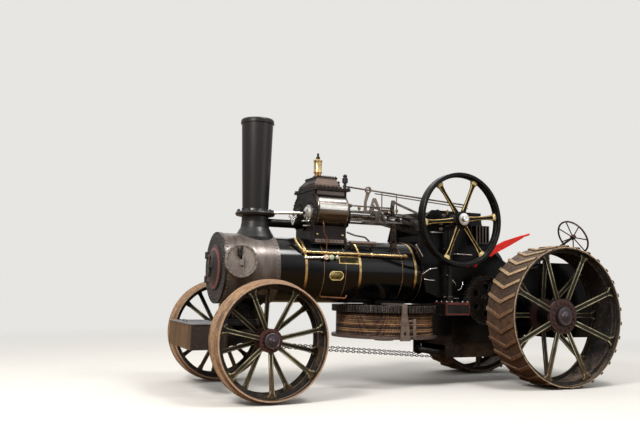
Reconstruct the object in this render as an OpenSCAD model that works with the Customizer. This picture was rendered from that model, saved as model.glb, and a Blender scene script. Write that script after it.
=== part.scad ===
// Steam ploughing engine: +X forward, +Y left, +Z up, ground at z = 0.
// Lengths are in mm; x is measured from the rear axle and moved to the middle at the end.

/* [Overall] */
// distance between the two axles
wheelbase = 4683; // [4550:1:4900]
// how far the tender reaches behind the rear axle
tender_back = 1290; // [1200:10:1400]

/* [Rear wheels] */
// radius over the strakes
rear_r = 1067; // [1030:1:1090]
// width of the rim
rear_w = 610; // [560:5:640]
// outer face of the rim from the middle
rear_face = 1365; // [1355:1:1400]
// spokes in one wheel
rear_spokes = 16; // [12:2:20]
// strakes on one rim
rear_strakes = 30; // [20:2:34]
// height of a strake
strake_h = 25; // [15:1:30]

/* [Front wheels] */
// radius over the centre ring
front_r = 762; // [735:1:775]
// width of the rim
front_w = 406; // [360:2:420]
// outer face of the rim from the middle
front_face = 1352; // [1340:1:1380]
// spokes in one wheel
front_spokes = 14; // [10:2:16]
// height of the centre ring
ring_h = 38; // [20:1:45]
// thickness of a rim plate
rim_t = 14; // [10:1:18]

/* [Boiler] */
// height of the boiler axis
boiler_z = 1680; // [1670:1:1700]
// radius of the lagged barrel
barrel_r = 468; // [450:1:474]
// radius of the smokebox shell
smoke_r = 484; // [480:1:490]
// length of the smokebox
smoke_len = 790; // [740:5:820]
// wall of the smokebox
smoke_t = 12; // [8:1:16]
// radius of the smokebox door
door_r = 312; // [280:1:330]
// swing of the smokebox door
door_swing = 0; // [0:1:110]

/* [Chimney] */
// distance of the chimney axis behind the front axle
chimney_set = 162; // [130:1:190]
// height of the chimney top
chimney_z = 3822; // [3700:1:3950]
// radius at the top
chimney_top_r = 241; // [220:1:255]
// radius above the flange
chimney_low_r = 186; // [170:1:195]
// height of the flange
chimney_flange_z = 2473; // [2440:1:2500]

/* [Engine] */
// crankshaft ahead of the rear axle
crank_x = 1616; // [1600:1:1640]
// height of the crankshaft
crank_z = 2470; // [2450:1:2490]
// radius of the flywheel
fly_r = 700; // [640:1:705]
// width of the flywheel rim
fly_w = 141; // [120:1:145]
// outer face of the flywheel from the middle
fly_face = 949; // [945:1:970]
// radius of a crank
crank_throw = 150; // [120:1:155]
// sideways place of a cylinder axis
cyl_y = 190; // [180:1:200]

/* [Winding drum] */
// drum axis ahead of the rear axle
drum_x = 2402; // [2395:1:2420]
// radius over the teeth
drum_r = 800; // [780:1:803]
// top of the toothed ring
drum_top = 1190; // [1180:1:1195]
// height of the toothed ring
drum_tooth_h = 98; // [80:1:110]
// underside of the lower flange
drum_low = 715; // [690:1:730]
// teeth on the ring
drum_teeth = 90; // [60:2:96]
// radius of the rope winding
rope_wind_r = 735; // [700:1:745]

/* [Fore carriage] */
// length of the tool box
box_len = 480; // [420:5:500]
// width of the tool box
box_w = 1220; // [1100:10:1260]
// height of the tool box
box_h = 330; // [280:5:350]
// plate of the tool box
box_t = 10; // [6:1:14]

/* [Hidden] */
$fn = 96;
clear = 6;
seat = 0.3;
round_seat = 0.8;
x_front = wheelbase + 867;
x_rear = -tender_back - 130;
x_mid = (x_front + x_rear) / 2;

rear_rim_r = rear_r - strake_h;
front_rim_r = front_r - ring_h;
rear_hub_out = rear_face - 92;
front_hub_out = front_face - 100;
rear_axle_r = 62;
front_axle_r = 45;

chimney_x = wheelbase - chimney_set;
smoke_x1 = wheelbase + 400;
smoke_x0 = smoke_x1 - smoke_len;
fire_x0 = 450;
fire_x1 = 1480;
fire_low = 640;
barrel_top = boiler_z + barrel_r;

horn_y = barrel_r + seat;
horn_t = 24;
horn_out = horn_y + horn_t;

cyl_x0 = 3205;
cyl_x1 = 3760;
cyl_z = 2500;
table_z = 2832;

shaft_x = crank_x;
shaft_y = 610;
pinion_r = norm([shaft_x - drum_x, shaft_y]) - drum_r - clear;
tender_y = 620;
deck_z = 1215;
bunker_x = -360;
bunker_z = 1900;
pivot_r = 48;
turn_z = 935;
pipe_z = 2345;
box_x0 = wheelbase + 380;
box_z = 940;

// helpers

module place() {
  translate([-x_mid, 0, 0]) children();
}

// cylinder along X from x0 to x1
module along_x(x0, x1, r) {
  translate([x0, 0, 0]) rotate([0, 90, 0]) cylinder(r = r, h = x1 - x0);
}

// cylinder along Y from y0 to y1
module along_y(y0, y1, r) {
  translate([0, y1, 0]) rotate([90, 0, 0]) cylinder(r = r, h = y1 - y0);
}

module box_at(a, b) {
  translate(a) cube(b - a);
}

// round rod between two points
module rod(p, q, r) {
  d = q - p;
  l = norm(d);
  translate(p) rotate([0, acos(d[2] / l), atan2(d[1], d[0])]) cylinder(r = r, h = l);
}

// flat bar standing across Y between two points in the XZ plane
module link_bar(p, q, y, w, t) {
  d = [q[0] - p[0], q[1] - p[1]];
  l = norm(d);
  translate([p[0], y, p[1]]) rotate([0, -atan2(d[1], d[0]), 0])
    translate([0, -t / 2, -w / 2]) cube([l, t, w]);
}

// plate with an outline in XZ, thick along Y from y0 to y1
module side_plate(y0, y1) {
  translate([0, y1, 0]) rotate([90, 0, 0]) linear_extrude(y1 - y0) children();
}

module mirror_y() {
  children();
  mirror([0, 1, 0]) children();
}

// ring gear in the XY plane
module spur_ring(r_out, r_in, h, n, depth) {
  difference() {
    cylinder(r = r_out - depth, h = h);
    if (r_in > 0) translate([0, 0, -1]) cylinder(r = r_in, h = h + 2);
  }
  pitch = PI * 2 * r_out / n;
  intersection() {
    difference() {
      cylinder(r = r_out, h = h);
      translate([0, 0, -1]) cylinder(r = r_out - depth - 4, h = h + 2);
    }
    for (i = [0 : n - 1]) rotate(i * 360 / n)
      translate([r_out - depth - 6, -pitch * 0.24, 0]) cube([depth + 8, pitch * 0.48, h]);
  }
}

// boiler

module boiler_barrel() color("#1c1c1e") place() {
  translate([0, 0, boiler_z]) along_x(fire_x1, smoke_x0, barrel_r);
}

band_xs = [3905, 3060, 2128];
band_w = 36;

plate_x = 3440;
plate_z = 1600;

// bright bands round the lagging with two blank plates on its left side
module boiler_brass() color("#b08a3a") place() {
  for (x = band_xs) translate([0, 0, boiler_z]) difference() {
    along_x(x - band_w / 2, x + band_w / 2, barrel_r + 4);
    along_x(x - band_w, x + band_w, barrel_r + seat);
  }
  difference() {
    intersection() {
      translate([0, 0, boiler_z]) along_x(3000, 3800, barrel_r + 7);
      side_plate(200, 600) {
        for (s = [-1, 1]) translate([plate_x + s * 45, plate_z]) circle(r = 66);
        translate([plate_x, plate_z]) square([90, 132], center = true);
        translate([3235, 1830]) square([330, 110], center = true);
      }
    }
    translate([0, 0, boiler_z]) along_x(2900, 3900, barrel_r + seat);
  }
}

module smokebox() color("#7c7268") place() {
  difference() {
    union() {
      translate([0, 0, boiler_z]) along_x(smoke_x0, smoke_x1, smoke_r);
      translate([0, 0, boiler_z]) along_x(smoke_x1 - 26, smoke_x1, smoke_r + 10);
    }
    translate([0, 0, boiler_z]) along_x(smoke_x0 + smoke_t, smoke_x1 - 20, smoke_r - smoke_t);
    translate([0, 0, boiler_z]) along_x(smoke_x1 - 60, smoke_x1 + 10, door_r - 24);
    translate([chimney_x, 0, boiler_z]) cylinder(r = chimney_low_r - 30, h = 800);
  }
  for (s = [-1, 1]) translate([hinge_x, hinge_y, boiler_z + s * 170]) {
    translate([0, 0, 41]) cylinder(r = 20, h = 18);
    translate([smoke_x1 - hinge_x - 1, -20, 41]) cube([hinge_x - smoke_x1 + 1, 40, 18]);
    translate([0, 0, -40]) cylinder(r = 8, h = 90);
  }
}

cover_x = wheelbase + 195;
cover_z = 1768;
cover_r = 224;

module smokebox_side_cover() color("#8f8780") place() {
  difference() {
    translate([cover_x, 0, cover_z]) along_y(smoke_r - 120, smoke_r + 20, cover_r - 56);
    translate([0, 0, boiler_z]) along_x(smoke_x0, smoke_x1, smoke_r + round_seat);
  }
  difference() {
    translate([cover_x, 0, cover_z]) along_y(smoke_r + 18, smoke_r + 52, cover_r);
    translate([cover_x, 0, cover_z]) along_y(smoke_r + 47, smoke_r + 60, cover_r - 26);
  }
  translate([cover_x - 26, smoke_r + 38, cover_z - 60]) cube([44, 34, 130]);
}

hinge_y = -door_r - 36;
hinge_x = smoke_x1 + 34;

module smokebox_door() color("#4a3a36") place()
  translate([hinge_x, hinge_y, 0]) rotate(-door_swing) translate([-hinge_x, -hinge_y, 0]) {
    translate([smoke_x1, 0, boiler_z]) rotate([0, 90, 0]) rotate_extrude() polygon([
      [0, 14], [door_r - 60, 14], [door_r - 44, seat], [door_r, seat], [door_r, 16],
      [door_r - 10, 22], [door_r - 40, 22], [door_r - 70, 34], [door_r - 170, 52], [0, 58]]);
    translate([0, 0, boiler_z]) along_x(smoke_x1 + 50, smoke_x1 + 96, 24);
    for (h = [[84, -18, 165], [68, 150, 150]])
      translate([smoke_x1 + h[0], 0, boiler_z]) rotate([h[1], 0, 0]) cylinder(r = 10, h = h[2]);
    for (s = [-1, 1]) translate([0, 0, boiler_z + s * 170]) {
      side_strap = door_r - 30;
      translate([smoke_x1 + 16, hinge_y + 16, -22]) cube([22, side_strap, 44]);
      translate([hinge_x, hinge_y, -40]) difference() {
        cylinder(r = 20, h = 80);
        translate([0, 0, -1]) cylinder(r = 9, h = 82);
      }
    }
  }

// chimney

saddle_z = 2052;

module chimney() color("#232022") place() {
  translate([chimney_x, 0, 0]) difference() {
    rotate_extrude() polygon([
      [0, saddle_z], [chimney_low_r + 110, saddle_z], [chimney_low_r + 106, saddle_z + 70],
      [chimney_low_r + 84, saddle_z + 102], [chimney_low_r + 52, saddle_z + 148],
      [chimney_low_r + 18, 2260], [chimney_low_r + 6, 2340],
      [chimney_low_r + 6, chimney_flange_z - 60], [chimney_low_r + 84, chimney_flange_z - 44],
      [chimney_low_r + 100, chimney_flange_z - 14], [chimney_low_r + 84, chimney_flange_z + 10],
      [chimney_low_r + 8, chimney_flange_z + 24], [chimney_low_r, chimney_flange_z + 50],
      [chimney_top_r - 14, chimney_z - 70], [chimney_top_r, chimney_z - 60],
      [chimney_top_r, chimney_z - 20], [chimney_top_r - 10, chimney_z],
      [0, chimney_z]]);
    translate([0, 0, 2000]) cylinder(r = chimney_low_r - 30, h = chimney_z);
    translate([-chimney_x, 0, boiler_z]) along_x(smoke_x0 - 50, smoke_x1, smoke_r + round_seat);
    translate([-chimney_x, 0, 0])
      box_at([smoke_x0 - 200, -400, saddle_z - 10], [smoke_x0 + 8, 400, saddle_z + 250]);
  }
}

module perch_bracket() color("#1d1b1c") place() {
  difference() {
    union() {
      intersection() {
        translate([0, 0, boiler_z]) along_x(wheelbase - 250, wheelbase + 270, smoke_r + 34);
        box_at([wheelbase - 250, -320, 1000], [wheelbase + 270, 320, 1400]);
      }
      for (s = [-1, 1]) side_plate(s * 150 - 16, s * 150 + 16) polygon([
        [wheelbase - 240, 1290], [wheelbase + 260, 1290], [wheelbase + 150, turn_z + 30],
        [wheelbase - 150, turn_z + 30]]);
      for (s = [-1, 1]) translate([wheelbase + s * 110 - 16, 0, 0]) rotate([90, 0, 90])
        linear_extrude(32) polygon([[-300, 1330], [300, 1330], [175, turn_z + 30],
          [-175, turn_z + 30]]);
      translate([wheelbase, 0, turn_z + 1]) cylinder(r = 232, h = 40);
      translate([wheelbase, 0, turn_z + 1]) cylinder(r = 96, h = 300);
    }
    translate([0, 0, boiler_z]) along_x(smoke_x0 - 50, smoke_x1 + 50, smoke_r + round_seat);
  }
  translate([wheelbase, 0, turn_z - 175]) cylinder(r = pivot_r, h = 240);
}

// cylinders and motion

chest_x0 = 3345;
chest_x1 = 3735;
chest_half = [310, 205];
chest_top = 3030;
chest_y = 330;
bore_r = 205;

module cylinder_block() color("#262223") place() {
  difference() {
    union() {
      box_at([cyl_x0 + 30, -chest_y, 2050], [cyl_x1 - 10, chest_y, table_z]);
      box_at([cyl_x0 + 30, -360, 2050], [cyl_x1 - 10, 360, 2150]);
      box_at([cyl_x0, -400, table_z - 1], [cyl_x1 + 4, 400, table_z + 34]);
      for (s = [-1, 1]) translate([0, s * cyl_y, cyl_z]) along_x(cyl_x0 - 10, cyl_x1, bore_r);
      for (s = [-1, 1]) translate([0, s * cyl_y, cyl_z + 40])
        along_x(clad_x1 + seat, cyl_x1 - 4, clad_r);
      box_at([cyl_x1 - 42, -120, pipe_z - 90], [cyl_x1, 120, pipe_z + 60]);
      intersection() {
        side_plate(-chest_half[0] - 1, chest_half[0] + 1) polygon([[chest_x0, table_z + 33],
          [chest_x1, table_z + 33], [chest_x1 - 8, 2940], [chest_x1 - 85, chest_top],
          [chest_x0, chest_top]]);
        translate([chest_x0 - 1, 0, 0]) rotate([90, 0, 90]) linear_extrude(chest_x1) polygon([
          [-chest_half[0], table_z + 32], [chest_half[0], table_z + 32], [chest_half[0] - 12, 2925],
          [chest_half[1], chest_top + 1], [-chest_half[1], chest_top + 1],
          [12 - chest_half[0], 2925]]);
      }
      box_at([chest_x0 - 12, -chest_half[1] - 16, chest_top - 6],
        [chest_x1 - 70, chest_half[1] + 16, chest_top + 22]);
      box_at([chest_x0 - 25, -chest_half[0] - 16, table_z + 30],
        [chest_x1 + 18, chest_half[0] + 16, table_z + 50]);
    }
    translate([0, 0, boiler_z]) along_x(cyl_x0 - 300, cyl_x1 + 300, barrel_r + round_seat);
    for (x = band_xs) translate([0, 0, boiler_z])
      along_x(x - band_w / 2 - seat, x + band_w / 2 + seat, barrel_r + 4 + seat);
  }
  for (s = [-1, 1]) translate([cyl_x1 - 1, s * cyl_y, cyl_z]) rotate([0, 90, 0])
    rotate_extrude() polygon([[0, 0], [118, 0], [118, 22], [96, 26], [88, 50], [60, 70], [0, 78]]);
  translate([0, cyl_y, cyl_z]) along_x(cyl_x1 + 70, cyl_x1 + 270, 15);
  translate([0, cyl_y, cyl_z]) along_x(cyl_x1 + 70, cyl_x1 + 110, 26);
}

clad_x0 = 3248;
clad_x1 = 3732;
clad_r = 262;

module cylinder_cladding() color("#a8a49e") place() {
  difference() {
    for (s = [-1, 1]) translate([0, s * cyl_y, cyl_z + 40]) along_x(clad_x0, clad_x1, clad_r);
    box_at([clad_x0 - 1, -2 * clad_r, table_z - 1.5], [clad_x1 + 1, 2 * clad_r, table_z + 70]);
    box_at([clad_x0 - 1, -chest_y - seat, cyl_z - 2 * clad_r],
      [clad_x1 + 1, chest_y + seat, cyl_z + 2 * clad_r]);
    for (s = [-1, 1]) translate([0, s * cyl_y, cyl_z])
      along_x(clad_x0 - 1, clad_x1 + 1, bore_r + seat);
  }
}

module safety_valve() color("#b58a35") place() translate([3555, 0, 0]) {
  translate([0, 0, 3052]) cylinder(r = 74, h = 30);
  translate([0, 0, 3080]) cylinder(r = 50, h = 60);
  translate([0, 0, 3130]) cylinder(r1 = 58, r2 = 52, h = 200);
  translate([0, 0, 3328]) cylinder(r = 30, h = 46);
  translate([0, 0, 3372]) cylinder(r = 16, h = 56);
}

module exhaust_pipe() color("#1a1a1b") place() {
  translate([0, 0, pipe_z]) difference() {
    union() {
      along_x(cyl_x1 + seat, chimney_x - 120, 60);
      along_x(cyl_x1 + 90, cyl_x1 + 122, 76);
    }
    translate([chimney_x, 0, -60])
      cylinder(r1 = chimney_low_r + 14, r2 = chimney_low_r + 7, h = 120);
  }
  translate([0, 0, pipe_z]) along_x(cyl_x1 + seat, cyl_x1 + 24, 84);
}

head_x = 2600;

guide_x0 = 2230;
guide_half = 76;
guide_t = 26;

module slide_bars() color("#8a8681") place() {
  for (s = [-1, 1]) {
    for (z = [-guide_half, guide_half - guide_t]) box_at([guide_x0, s * cyl_y - 34, cyl_z + z],
      [cyl_x0 - 10, s * cyl_y + 34, cyl_z + z + guide_t]);
    box_at([guide_x0, s * cyl_y - 34, cyl_z - guide_half],
      [guide_x0 + guide_t, s * cyl_y + 34, cyl_z + guide_half]);
    translate([0, s * cyl_y, cyl_z]) along_x(head_x + 80, cyl_x0 - 10, 24);
    difference() {
      box_at([head_x - 110, s * cyl_y - 30, cyl_z - guide_half + guide_t],
        [head_x + 90, s * cyl_y + 30, cyl_z + guide_half - guide_t]);
      translate([head_x - 60, s * cyl_y, cyl_z]) along_y(-57, 57, 26 + seat);
    }
  }
}

// one side bar of a connecting rod with an eye for the crank pin
module rod_side(p, q, y) {
  difference() {
    union() {
      link_bar(p, q, y, 62, 20);
      translate([p[0], y, p[1]]) along_y(-10, 10, 62);
      translate([q[0], y, q[1]]) along_y(-10, 10, 44);
    }
    translate([p[0], y, p[1]]) along_y(-20, 20, pin_r + seat);
  }
}

pin_r = 34;

link_x = 2440;
valve_z = 2640;
valve_y = 318;
sheave_r = 78;
sheave_out = 42;

module connecting_rods() color("#96918b") place() for (s = [-1, 1]) {
  for (k = [-1, 1]) rod_side([crank_x, crank_z + s * crank_throw], [head_x - 60, cyl_z],
    s * cyl_y + k * 46);
  translate([head_x - 60, s * cyl_y, cyl_z]) along_y(-57, 57, 26);
  // valve gear outside the cranks
  difference() {
    union() {
      for (k = [-1, 1]) translate([crank_x + k * sheave_out, s * (valve_y + k * 12), crank_z])
        along_y(-10, 10, sheave_r + 24);
      for (k = [-1, 1]) link_bar([crank_x + k * sheave_out, crank_z], [link_x, valve_z + k * 92],
        s * (valve_y + k * 12), 34, 16);
    }
    translate([crank_x, s * valve_y, crank_z]) along_y(-60, 60, sheave_r + sheave_out + seat - 30);
    for (k = [-1, 1]) translate([crank_x + k * sheave_out, s * (valve_y + k * 12), crank_z])
      along_y(-12, 12, sheave_r + seat);
  }
  side_plate(s * valve_y - 22, s * valve_y + 22) polygon([[link_x - 24, valve_z - 120],
    [link_x + 24, valve_z - 120], [link_x + 40, valve_z], [link_x + 24, valve_z + 120],
    [link_x - 24, valve_z + 120], [link_x - 8, valve_z]]);
  translate([0, s * (valve_y - 6), valve_z]) along_x(link_x + 10, cyl_x0 - 10 - seat, 12);
  translate([0, s * (valve_y - 6), valve_z]) along_x(cyl_x0 - 64, cyl_x0 - 10 - seat, 26);
}

module crankshaft() color("#6a6663") place() translate([crank_x, 0, crank_z]) {
  along_y(-720, -cyl_y - 96, 55);
  along_y(-cyl_y + 96, cyl_y - 96, 55);
  along_y(cyl_y + 96, fly_face - fly_w - 60, 55);
  for (s = [-1, 1], k = [-1, 1]) translate([0, s * cyl_y + k * 82, 0]) {
    along_y(-16, 16, 84);
    translate([0, 0, s * crank_throw]) along_y(-16, 16, 62);
    side_plate(-16, 16) polygon([[-80, -s * 10], [80, -s * 10], [56, s * crank_throw],
      [-56, s * crank_throw]]);
  }
  for (s = [-1, 1]) translate([0, s * cyl_y, s * crank_throw]) along_y(-90, 90, pin_r);
  for (s = [-1, 1], k = [-1, 1]) translate([k * sheave_out, s * (valve_y + k * 12), 0])
    along_y(-10, 10, sheave_r);
  along_y(fly_face - fly_w - 130, fly_face + 66, 42);
}

cut_r = 850;
horn_top = 2640;
rib_x0 = 870;
rib_z0 = 2165;
rib_step = 57;

module horn_outline() difference() {
  polygon([[-190, 880], [230, 880], [fire_x0, 1225], [1490, 1225], [1960, 1400],
    [2110, 2050], [1990, 2520], [1860, horn_top], [-190, horn_top]]);
  translate([100, horn_top]) circle(r = cut_r);
  translate([2150, 1360]) circle(r = 190);
}

module hornplates() color("#171718") place() {
  for (s = [-1, 1]) difference() {
    side_plate(s > 0 ? horn_y : -horn_out, s > 0 ? horn_out : -horn_y) horn_outline();
    translate([crank_x, 0, crank_z]) along_y(-700, 700, 56);
    translate([0, 0, rear_r]) along_y(-700, 700, rear_axle_r + seat);
  }
  // crankshaft bearings with their caps, short where the bevel wheels run
  for (side = [[-1, 92], [1, 14]]) difference() {
    far = side[0] * (horn_out + side[1]);
    near = side[0] * (horn_out - 1);
    union() {
      side_plate(min(near, far), max(near, far))
        polygon([[crank_x - 190, crank_z - 150], [crank_x + 190, crank_z - 150],
          [crank_x + 160, crank_z], [crank_x + 130, crank_z + 110], [crank_x - 130, crank_z + 110],
          [crank_x - 160, crank_z]]);
      translate([crank_x, 0, crank_z]) along_y(min(near, far + side[0] * 4),
        max(near, far + side[0] * 4), 88);
    }
    translate([crank_x, 0, crank_z]) along_y(-760, 760, 56);
  }
  // ribbed casting behind the flywheel
  box_at([rib_x0, horn_out - 1, rib_z0], [rib_x0 + 250, horn_out + 70, rib_z0 + 270]);
  for (i = [0 : 4]) translate([rib_x0 + i * rib_step, horn_out + 69, rib_z0]) cube([22, 39, 270]);
  box_at([rib_x0 - 8, horn_out - 1, rib_z0 - 26], [rib_x0 + 258, horn_out + 114, rib_z0 + 1]);
  // stretcher between the plates ahead of the cranks
  box_at([1930, -horn_y + seat, barrel_top + 20], [1960, horn_y - seat, barrel_top + 110]);
  // axle boxes
  for (s = [-1, 1]) translate([0, 0, rear_r]) difference() {
    along_y(s > 0 ? horn_out - 1 : -horn_out - 70, s > 0 ? horn_out + 70 : -horn_out + 1, 118);
    along_y(-760, 760, rear_axle_r + seat);
  }
}

hole_z = 1430;

module firebox() color("#1b1b1c") place() {
  difference() {
    union() {
      translate([0, 0, boiler_z]) along_x(fire_x0, fire_x1, barrel_r);
      box_at([fire_x0, -barrel_r, fire_low], [fire_x1, barrel_r, boiler_z]);
      translate([0, 0, hole_z]) along_x(fire_x0 - 20, fire_x0 + 1, 190);
    }
    box_at([fire_x0 + 90, -barrel_r + 90, fire_low - 1], [fire_x1 - 90, barrel_r - 90, 1560]);
    translate([0, 0, hole_z]) along_x(fire_x0 - 30, fire_x0 + 100, 150);
  }
  // hinge pins of the firehole door
  for (s = [-1, 1]) translate([fire_x0 - 42, fire_hinge_y, hole_z + s * 80]) {
    translate([0, 0, -36]) cylinder(r = 7, h = 76);
    translate([0, 0, 31]) cylinder(r = 16, h = 12);
    translate([0, -16, 31]) cube([42, 32, 12]);
  }
}

fire_hinge_y = -190;

module firehole_door() color("#2b2524") place() {
  translate([0, 0, hole_z]) along_x(fire_x0 - 36, fire_x0 - 20 - seat, 168);
  for (s = [-1, 1]) translate([fire_x0 - 42, fire_hinge_y, hole_z + s * 80]) {
    difference() {
      translate([0, 0, -30]) cylinder(r = 16, h = 60);
      translate([0, 0, -31]) cylinder(r = 7 + seat, h = 62);
    }
    translate([-6, 14, -18]) cube([12, 250, 36]);
  }
  translate([fire_x0 - 36, 120, hole_z]) rotate([0, -90, 0]) cylinder(r = 9, h = 60);
  translate([fire_x0 - 90, 120, hole_z - 60]) cylinder(r = 9, h = 120);
}

module ashpan() color("#2a2624") place() {
  difference() {
    box_at([fire_x0 + 30, -barrel_r + 30, fire_low - 230], [fire_x1 - 30, barrel_r - 30, fire_low - seat]);
    box_at([fire_x0 + 38, -barrel_r + 38, fire_low - 222], [fire_x1 - 38, barrel_r - 38, fire_low + 1]);
    box_at([fire_x1 - 60, -barrel_r + 60, fire_low - 190], [fire_x1, barrel_r - 60, fire_low - 60]);
  }
}

// gears and winding drum

// columns: x, z, radius, teeth; each wheel just clears the next and the last the axle wheel
gear_line = [[crank_x, crank_z, 128, 18], [1289, 2190, 300, 42], [812, 1753, 344, 48],
  [470, 1440, 118, 16]];
left_gear = [1020, 1290, 374, 54];
left_gear_y = 716;
axle_gear_r = 480;
gear_w = 84;
gear_y = tender_y + 14;

// spur wheel standing on its inner face, thinned between hub and rim
module webbed_gear(r_out, n, holes) difference() {
  spur_ring(r_out, 0, gear_w, n, 22);
  if (holes > 0) for (i = [0 : holes - 1]) rotate((i + 0.5) * 360 / holes)
    translate([r_out * 0.55, 0, -1]) cylinder(r = 52, h = gear_w + 2);
  for (z = [-1, gear_w - 22]) translate([0, 0, z]) difference() {
    cylinder(r = r_out - 60, h = 23);
    translate([0, 0, -1]) cylinder(r = 84, h = 25);
  }
}

module gear_train() color("#3a3735") place() {
  for (i = [1 : 3]) let (g = gear_line[i]) translate([g[0], -gear_y, g[1]]) {
    rotate([90, 0, 0]) webbed_gear(g[2], g[3], 0);
    along_y(-gear_w - 16, gear_y - horn_out - seat, 50);
  }
  translate([gear_line[0][0], -gear_y - 4, gear_line[0][1]]) rotate([90, 0, 0])
    spur_ring(gear_line[0][2], 55 + seat, gear_w - 14, gear_line[0][3], 22);
  translate([left_gear[0], left_gear_y, left_gear[1]]) {
    rotate([90, 0, 0]) webbed_gear(left_gear[2], left_gear[3], 6);
    along_y(horn_out + seat - left_gear_y, 14, 50);
  }
  translate([0, -gear_y, rear_r]) rotate([90, 0, 0])
    spur_ring(axle_gear_r, rear_axle_r + seat, gear_w, 64, 24);
}

bevel_r = 92;
bevel_small = 62;
bevel_h = 30;

// bevel wheel, its large end at z = 0
module bevel(n) difference() {
  rotate_extrude() polygon([[0, -20], [bevel_r - 16, -20], [bevel_r - 2, 0],
    [bevel_small - 2, bevel_h], [0, bevel_h]]);
  for (i = [0 : n - 1]) rotate(i * 360 / n) translate([bevel_small - 8, -4, -21])
    cube([60, 8, bevel_h + 30]);
}

hood_r = pinion_r + 22;
hood_top = 1255;

// cover round the drum pinion, open towards the drum and below
module pinion_hood() difference() {
  translate([shaft_x, shaft_y, 0]) box_at([-hood_r, horn_out + seat - shaft_y, hood_top - 195],
    [hood_r, hood_r, hood_top]);
  translate([shaft_x, shaft_y, 0]) box_at([-hood_r + 12, -hood_r, hood_top - 196],
    [hood_r - 12, hood_r - 12, hood_top - 12]);
  translate([drum_x, 0, hood_top - 196])
    cylinder(r = drum_r + clear + 4, h = drum_top + clear + 196 - hood_top);
}

module drum_shaft() color("#2b2826") place() {
  pinion_hood();
  translate([shaft_x, shaft_y, 0]) {
    translate([0, 0, drum_top - drum_tooth_h - 20])
      cylinder(r = 36, h = crank_z - bevel_r - drum_top + drum_tooth_h + 10);
    translate([0, 0, drum_top - drum_tooth_h]) spur_ring(pinion_r, 0, drum_tooth_h, 21, 24);
    translate([0, 0, crank_z - bevel_r]) bevel(20);
    for (z = [1240, 1960]) translate([0, 0, z]) {
      cylinder(r = 62, h = 96);
      box_at([-50, horn_out + seat - shaft_y, 12], [50, 0, 84]);
    }
  }
  translate([crank_x, shaft_y + bevel_r, crank_z]) rotate([90, 0, 0]) difference() {
    bevel(20);
    translate([0, 0, -40]) cylinder(r = 55 + seat, h = 100);
  }
}

module drum_bracket() color("#201e1e") place() {
  difference() {
    union() {
      translate([drum_x, 0, drum_low - 60]) cylinder(r = 60, h = boiler_z - drum_low);
      box_at([drum_x - 240, -200, drum_top + clear], [drum_x + 260, 200, 1300]);
    }
    translate([0, 0, boiler_z]) along_x(1000, 4000, barrel_r + round_seat);
  }
  translate([drum_x, 0, drum_low - 60]) cylinder(r = 150, h = 59);
}

module drum_gear() color("#4a4642") place() translate([drum_x, 0, 0]) {
  translate([0, 0, drum_top - drum_tooth_h])
    spur_ring(drum_r, drum_r - 110, drum_tooth_h, drum_teeth, 26);
  translate([0, 0, drum_low]) difference() {
    cylinder(r = drum_r, h = 42);
    translate([0, 0, -1]) cylinder(r = 61, h = 50);
  }
  translate([0, 0, drum_low + 40]) difference() {
    cylinder(r = 150, h = drum_top - drum_low - 60);
    translate([0, 0, -1]) cylinder(r = 61, h = 700);
  }
  translate([0, 0, drum_low + 40]) difference() {
    cylinder(r = rope_wind_r - 90, h = drum_top - drum_tooth_h - drum_low - 20);
    translate([0, 0, -1]) cylinder(r = rope_wind_r - 106, h = 700);
  }
  for (i = [0 : 7]) rotate(i * 45) box_at([140, -22, drum_top - 60], [drum_r - 105, 22, drum_top - 20]);
}

rope_r = 12.5;

// rope lying in turns, one cone pair and a crest for each
module drum_rope() color("#8a6a48") place() translate([drum_x, 0, drum_low + 42]) {
  high = drum_top - drum_tooth_h - drum_low - 42;
  n = floor(high / (2 * rope_r));
  step = high / n;
  rotate_extrude() polygon(concat(
    [[rope_wind_r - 89, 0]],
    [for (i = [0 : n - 1]) each [[rope_wind_r - 8, i * step], [rope_wind_r, i * step + step * 0.3],
      [rope_wind_r, i * step + step * 0.7]]],
    [[rope_wind_r - 8, high], [rope_wind_r - 89, high]]));
}

guide_y = drum_r + clear;

module coiling_gear() color("#6b635c") place() {
  difference() {
    side_plate(guide_y, guide_y + 30) polygon([[2440, 700], [2600, 700], [2572, 1110],
      [2500, 1110]]);
    side_plate(guide_y - 1, guide_y + 40) translate([2532, 800]) circle(r = 26);
  }
  box_at([2500, 200, 1196], [2572, guide_y + 30, 1222]);
  box_at([2500, guide_y, 1100], [2572, guide_y + 30, 1222]);
  for (z = [760, 980]) translate([2510, guide_y + 15, z]) rotate([0, -90, 0]) cylinder(r = 11, h = 140);
  translate([2375, guide_y + 30, 740]) cylinder(r = 24, h = 270);
}

// tender and rear axle

module rear_axle() color("#2a2828") place() translate([0, 0, rear_r]) {
  along_y(-rear_hub_out + 25, rear_hub_out - 25, rear_axle_r);
}

module tender() color("#1b1a1b") place() {
  difference() {
    union() {
      box_at([-tender_back, -tender_y, 900], [bunker_x, tender_y, bunker_z]);
      side_plate(-tender_y, tender_y) polygon([[-tender_back, 901], [-tender_back, 770],
        [-tender_back + 80, 700], [bunker_x, 700], [bunker_x, 901]]);
    }
    box_at([-tender_back + 8, -tender_y + 8, 1258], [bunker_x - 8, tender_y - 8, bunker_z + 9]);
  }
  // beading round the top and the tank seam
  for (z = [1246, bunker_z - 26]) difference() {
    box_at([-tender_back - 9, -tender_y - 9, z], [bunker_x, tender_y + 9, z + 26]);
    box_at([-tender_back + 4, -tender_y + 4, z - 1], [bunker_x - 4, tender_y - 4, z + 27]);
  }
  box_at([bunker_x - 1, -horn_y + 1, deck_z], [fire_x0 - 62, horn_y - 1, deck_z + 12]);
  // filler of the tank at the back
  translate([-tender_back - 60, -360, 1180]) rotate([0, 90, 0]) cylinder(r = 70, h = 62);
  translate([-tender_back - 72, -360, 1180]) rotate([0, 90, 0]) cylinder(r = 82, h = 14);
}

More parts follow.
